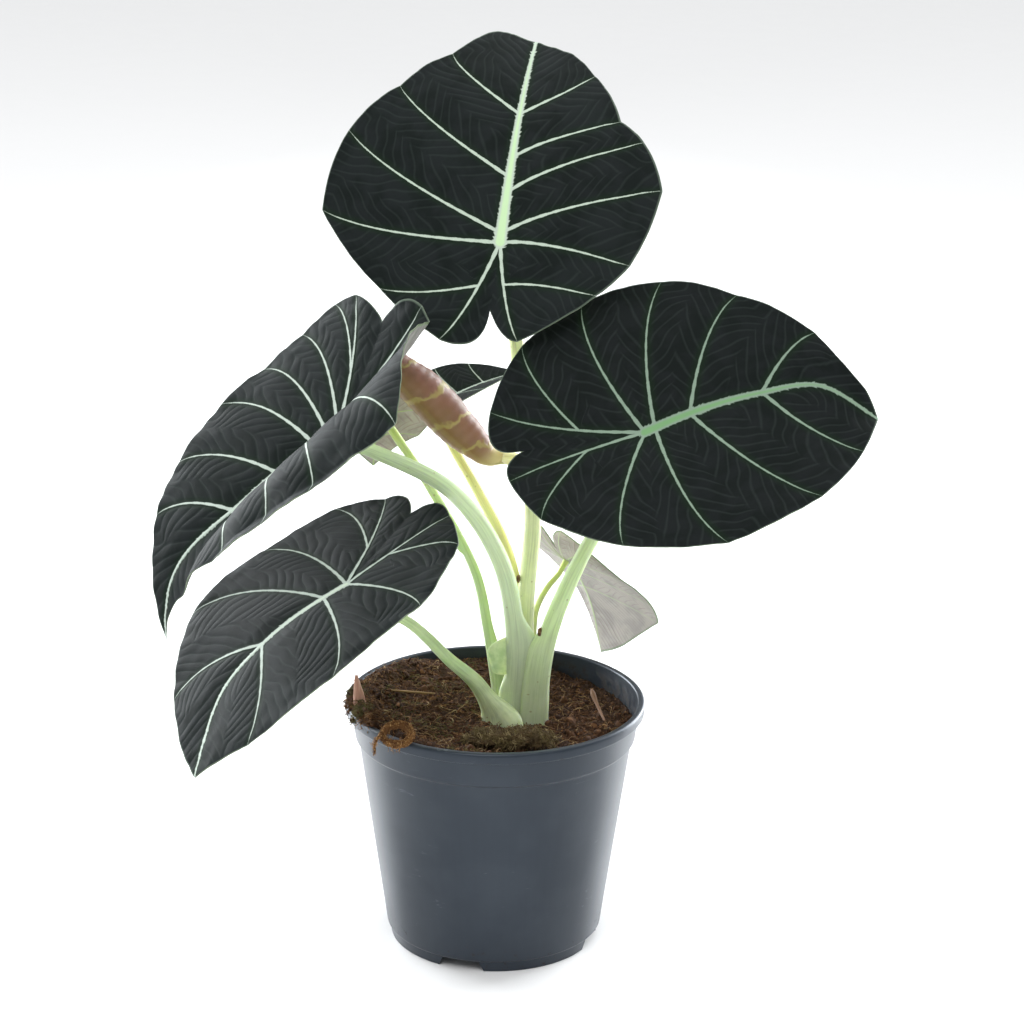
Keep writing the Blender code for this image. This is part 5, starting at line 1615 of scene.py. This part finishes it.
class ALOCASIA_OT_potting_mix(bpy.types.Operator):
    """Adds the peat with its crumbs, fibres and moss"""
    bl_idname = "alocasia.potting_mix"
    bl_label = "Potting mix"

    def execute(self, context):
        options = settings("mix")
        add_piece("peat_mix", mix_mesh(), [peat_skin()], ["potting_mix"])
        fibre, crumb = scatter_tree("Strewn fibres", "fibre"), scatter_tree("Strewn crumbs", "crumb")
        top = mix_mesh(top_only=True)
        peat, brown, pale, moss = (litter_skin(name) for name in ("peat_crumbs", "coir_threads",
                                                                  "pale_threads", "moss_threads"))
        clear, inner = patch_of(top, clear_of_stem), patch_of(top, off_the_wall)
        scattered("peat_crumbs", clear, crumb, peat, "peat_mix", Density=options.crumbs * 100.0,
                  Length=0.00115, Tilt=3.1, Bend=0.0011, Seed=options.seed)
        scattered("peat_lumps", clear, crumb, peat, "peat_mix", Density=11000.0, Length=0.0023, Tilt=3.1,
                  Bend=0.0022, Seed=options.seed + 1)
        scattered("coir_threads", inner, fibre, brown, "coir_fibre", Density=options.fibres * 100.0,
                  Length=0.0055, Thickness=0.00010, Tilt=0.45, Bend=0.0034, Seed=options.seed + 2)
        scattered("pale_threads", inner.copy(), fibre, pale, "coir_fibre", Density=22000.0, Length=0.0085,
                  Thickness=0.00011, Tilt=0.35, Bend=0.0040, Seed=options.seed + 3)
        for number, (turn, out, tall) in enumerate(PEAT_BANKS):
            angle = math.radians(turn)
            place = (out * math.cos(angle), out * math.sin(angle), POT_HEIGHT - 0.0008)
            bank = lump_mesh(f"peat_bank_{number}", place, (*BANK_REACH, tall), 1.3 * number, 4, 0.7)
            add_piece(f"peat_bank_{number}", bank.copy(), [peat])
            scattered(f"peat_bank_threads_{number}", bank, fibre, moss if number % 2 else brown, "coir_fibre",
                      Density=9.0e5, Length=0.0034, Thickness=0.00010, Tilt=1.2, Bend=0.0030,
                      Seed=options.seed + 20 + number)
        scattered("moss_threads", patch_of(top, is_mossy), fibre, moss, "moss", Density=330000.0,
                  Length=0.0026, Thickness=0.00014, Tilt=1.1, Bend=0.0020, Seed=options.seed + 4)
        return {"FINISHED"}


# ---- loose pieces ----

def wood_skin(name, tones, stretch):
    """Dry wood or straw with grain along one direction."""
    def recipe(nodes):
        place = nodes.vector("MULTIPLY", nodes.place(), stretch)
        marks = nodes.grain(place, 1500.0, 330.0)
        colour = nodes.mix(marks["Grain"], tones[0], tones[1])
        colour = nodes.mix(nodes.times(marks["Blotch"], 0.6), colour, tones[2])
        return skin_values(nodes, colour, marks["Grain"], (0.6, 0.9), marks["Grain"], (0.0003, 0.9))
    return finish_of(name, recipe, Specular_IOR_Level=0.25)


CURL_TILT = 0.55  # how steeply the curl leans back over the mix
CURL_RADIUS = 0.0052
SPLINTER_WIDTHS = (0.78, 1.0, 0.95, 0.60, 0.22)  # from its foot to its top, as parts of its box


def curl_point(centre, angle, out, lift):
    """A place in the coir curl: angle round it, distance from its middle and height above its plane."""
    across, back = out * math.cos(angle), 0.8 * out * math.sin(angle)
    return (centre[0] + across, centre[1] + back, centre[2] + lift + CURL_TILT * back)


def curl_surface(centre):
    """A lumpy ring that the fibres of the coir curl are strewn over."""
    turns, sides = 40, 12
    verts = []
    for i in range(turns):
        a = 2 * math.pi * i / turns
        size = 0.0011 * (1 + 0.25 * math.sin(3 * a) + 0.1 * math.sin(7 * a))
        for k in range(sides):
            b = 2 * math.pi * k / sides
            verts.append(curl_point(centre, a, CURL_RADIUS + size * math.cos(b), size * math.sin(b)))
    faces = [(a, d, c, b) for a, b, c, d in grid_faces(turns, sides, ring_rows=True)]
    return new_mesh("coir_curl_core", verts, faces)


def splinter_mesh(name, low, high, lean, rows=14, sides=14):
    """A splinter of bark in a box, narrower at the top, split and rough."""
    reach_x, reach_y = (high[0] - low[0]) * 0.33, (high[1] - low[1]) * 0.40
    rings = []
    for t in np.linspace(0, 1, rows):
        spread = np.interp(t, np.linspace(0, 1, len(SPLINTER_WIDTHS)), SPLINTER_WIDTHS)
        centre = [low[0] + (high[0] - low[0]) * (0.62 - lean * t), (low[1] + high[1]) / 2,
                  low[2] + (high[2] - low[2]) * t]
        ring = []
        for i in range(sides):
            a = 2 * math.pi * i / sides
            square = 0.5 + 0.5 / max(abs(math.cos(a)), abs(math.sin(a)))
            rough = 1 + 0.10 * noise(Vector((3 * math.cos(a), 3 * math.sin(a), 7 * t)))
            ring.append((centre[0] + reach_x * spread * rough * square * math.cos(a),
                         centre[1] + reach_y * spread * rough * math.sin(a),
                         centre[2] + 0.0006 * math.cos(3 * a) * t))
        rings.append(np.array(ring))
    return ring_tube(rings, name)


def strand_mesh(centre, radius, thick, count):
    """Strands of fibre that run round the coir curl, each on its own wandering course."""
    rings, faces, verts = 60, [], []
    for number in range(count):
        start = number * 2.4
        span = 2 * math.pi * (0.55 + 0.6 * abs(noise(Vector((number * 0.37, 2.0, 5.0)))))
        base = len(verts)
        for k in range(rings):
            a = start + span * k / (rings - 1)
            b = start * 1.7 + 0.9 * a + noise(Vector((a, number * 0.9, 0.0)))
            wide = thick * (0.55 + 0.75 * abs(noise(Vector((number * 1.3, 0.6 * a, 4.0)))))
            size = 0.00012 * (1.0 if 0 < k < rings - 1 else 0.3)
            middle = curl_point(centre, a, radius + wide * math.cos(b), wide * math.sin(b))
            for i in range(4):
                c = math.pi / 2 * i
                verts.append((middle[0] + size * math.cos(c) * math.cos(a),
                              middle[1] + size * math.cos(c) * math.sin(a), middle[2] + size * math.sin(c)))
        faces += grid_faces(rings, 4, base)
        faces += [tuple(range(base + 3, base - 1, -1)), tuple(range(len(verts) - 4, len(verts)))]
    return reworked(new_mesh("coir_strands", verts, faces), face_outwards)


# Sticks on the mix, as places (x, y, height above the mix, radius).
TWIG = [(0.0440, -0.0040, 0.0014, 0.0004), (0.0425, 0.0030, 0.0020, 0.0006),
        (0.0405, 0.0100, 0.0042, 0.0008), (0.0396, 0.0130, 0.0056, 0.0011),
        (0.0390, 0.0152, 0.0068, 0.0006)]
STRAW = [(-0.0440, 0.0100, 0.0014, 0.0003), (-0.0340, 0.0085, 0.0020, 0.0005),
         (-0.0245, 0.0100, 0.0016, 0.0003)]


def add_stick(name, node, places, skin):
    """A twig or straw that lies on the mix."""
    base = POT_HEIGHT - MIX_BELOW_RIM
    laid = [(x, y, base + heap_at(x, y) + up, radius) for x, y, up, radius in places]
    add_piece(name, stalk_mesh(name, laid, [], 12, 8), [skin], [node])


def add_coir(fibre, seed):
    """The curl of coconut fibre over the rim, with its strands and its hanging tail."""
    coir = litter_skin("coir_curl", 700.0)
    centre = middle_of("coir_tuft")
    centre[2] -= 0.0024  # it sags on to the rim
    core = curl_surface(centre)
    add_piece("coir_curl_core", core.copy(), [litter_skin("coir_core")], ["coir_tuft"])
    scattered("coir_curl", core, fibre, coir, "coir_fibre", Density=4.2e5, Length=0.0040,
              Thickness=0.00009, Tilt=1.5, Bend=0.0040, Seed=seed + 5)
    tail = [(centre[0] + x, centre[1] + y, centre[2] + z, radius) for x, y, z, radius in (
        (-0.0060, 0.0010, 0.0, 0.0007), (-0.0078, -0.0030, -0.0010, 0.0006),
        (-0.0086, -0.0056, -0.0030, 0.0005), (-0.0086, -0.0064, -0.0056, 0.0003))]
    wisp = stalk_mesh("coir_tail", tail, [], 10, 8)
    add_piece("coir_tail", wisp.copy(), [coir])
    scattered("coir_tail_hair", wisp, fibre, coir, "coir_fibre", Density=9.0e5, Length=0.0030,
              Thickness=0.00009, Tilt=1.3, Bend=0.0030, Seed=seed + 7)
    add_piece("coir_strands", strand_mesh(centre, 0.0054, 0.0016, 60), [coir])


def add_bark():
    """The splinter of bark, sunk into the bank beside its place and leaning outwards."""
    low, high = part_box("bark_chip")
    low = (low[0] - 0.0036, low[1] - 0.0056, low[2] - 0.0050)
    high = (high[0] - 0.0022, high[1] - 0.0056, high[2])
    bark = wood_skin("bark_splinter", ((0.36, 0.17, 0.12), (0.62, 0.36, 0.27), (0.80, 0.58, 0.46)),
                     (1.0, 1.0, 0.12))
    add_piece("bark_splinter", splinter_mesh("bark_splinter", low, high, 0.32), [bark], ["bark_chip"])


def add_moss(fibre, seed):
    """The mossy clump in front of the stem, with the hair on it."""
    low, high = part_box("moss_clump")
    x, y, z = middle_of("moss_clump")
    size = [(b - a) / 2 * share for a, b, share in zip(low, high, (1.05, 1.15, 1.0))]
    clump = lump_mesh("moss_mound", (x + 0.0005, y + 0.0022, z - 0.0004), size, 3.1, 4, 0.6)
    add_piece("moss_mound", clump.copy(), [litter_skin("moss_mound")], ["moss_clump"])
    scattered("moss_hair", clump, fibre, litter_skin("moss_hair"), "moss", Density=1.0e6, Length=0.0042,
              Thickness=0.00011, Tilt=1.3, Bend=0.0036, Seed=seed + 6)


class ALOCASIA_OT_loose_pieces(bpy.types.Operator):
    """Adds what lies on the mix: coir curl, bark splinter, twig, straw and moss clump"""
    bl_idname = "alocasia.loose_pieces"
    bl_label = "Loose pieces"

    def execute(self, context):
        seed = settings("mix").seed
        fibre = bpy.data.node_groups["Strewn fibres"]
        add_coir(fibre, seed)
        add_bark()
        dry = wood_skin("dry_twig", ((0.20, 0.10, 0.05), (0.33, 0.19, 0.10), (0.12, 0.06, 0.03)),
                        (1.0, 0.2, 1.0))
        pale = wood_skin("dry_straw", ((0.32, 0.23, 0.10), (0.45, 0.35, 0.17), (0.24, 0.15, 0.06)),
                         (0.15, 1.0, 1.0))
        add_stick("twig_stick", "twig", TWIG, dry)
        add_stick("straw_blade", "straw", STRAW, pale)
        add_moss(fibre, seed)
        return {"FINISHED"}


# ---- panel and registration ----

OPERATORS = (ALOCASIA_OT_stage, ALOCASIA_OT_pot, ALOCASIA_OT_potting_mix, ALOCASIA_OT_loose_pieces,
             ALOCASIA_OT_stalks, ALOCASIA_OT_rolled_leaf, ALOCASIA_OT_blades)


class ALOCASIA_PT_panel(bpy.types.Panel):
    """Lists the steps that build the plant"""
    bl_idname = "ALOCASIA_PT_panel"
    bl_label = "Potted Alocasia"
    bl_space_type = "VIEW_3D"
    bl_region_type = "UI"
    bl_category = "Alocasia"

    def draw(self, context):
        for operator in OPERATORS:
            self.layout.operator(operator.bl_idname)
        for which, group in SETTINGS.items():
            box = self.layout.box()
            box.label(text=which.capitalize())
            for key in group.__annotations__:
                box.prop(getattr(context.scene, f"alocasia_{which}"), key)


def register():
    for which, group in SETTINGS.items():
        bpy.utils.register_class(group)
        setattr(bpy.types.Scene, f"alocasia_{which}", PointerProperty(type=group))
    for made in (*OPERATORS, ALOCASIA_PT_panel):
        bpy.utils.register_class(made)


def unregister():
    for made in (ALOCASIA_PT_panel, *reversed(OPERATORS)):
        bpy.utils.unregister_class(made)
    for which, group in SETTINGS.items():
        delattr(bpy.types.Scene, f"alocasia_{which}")
        bpy.utils.unregister_class(group)


def main():
    """Registers the add-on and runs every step."""
    register()
    for operator in OPERATORS:
        group, step = operator.bl_idname.split(".")
        getattr(getattr(bpy.ops, group), step)()


if __name__ == "__main__":
    main()
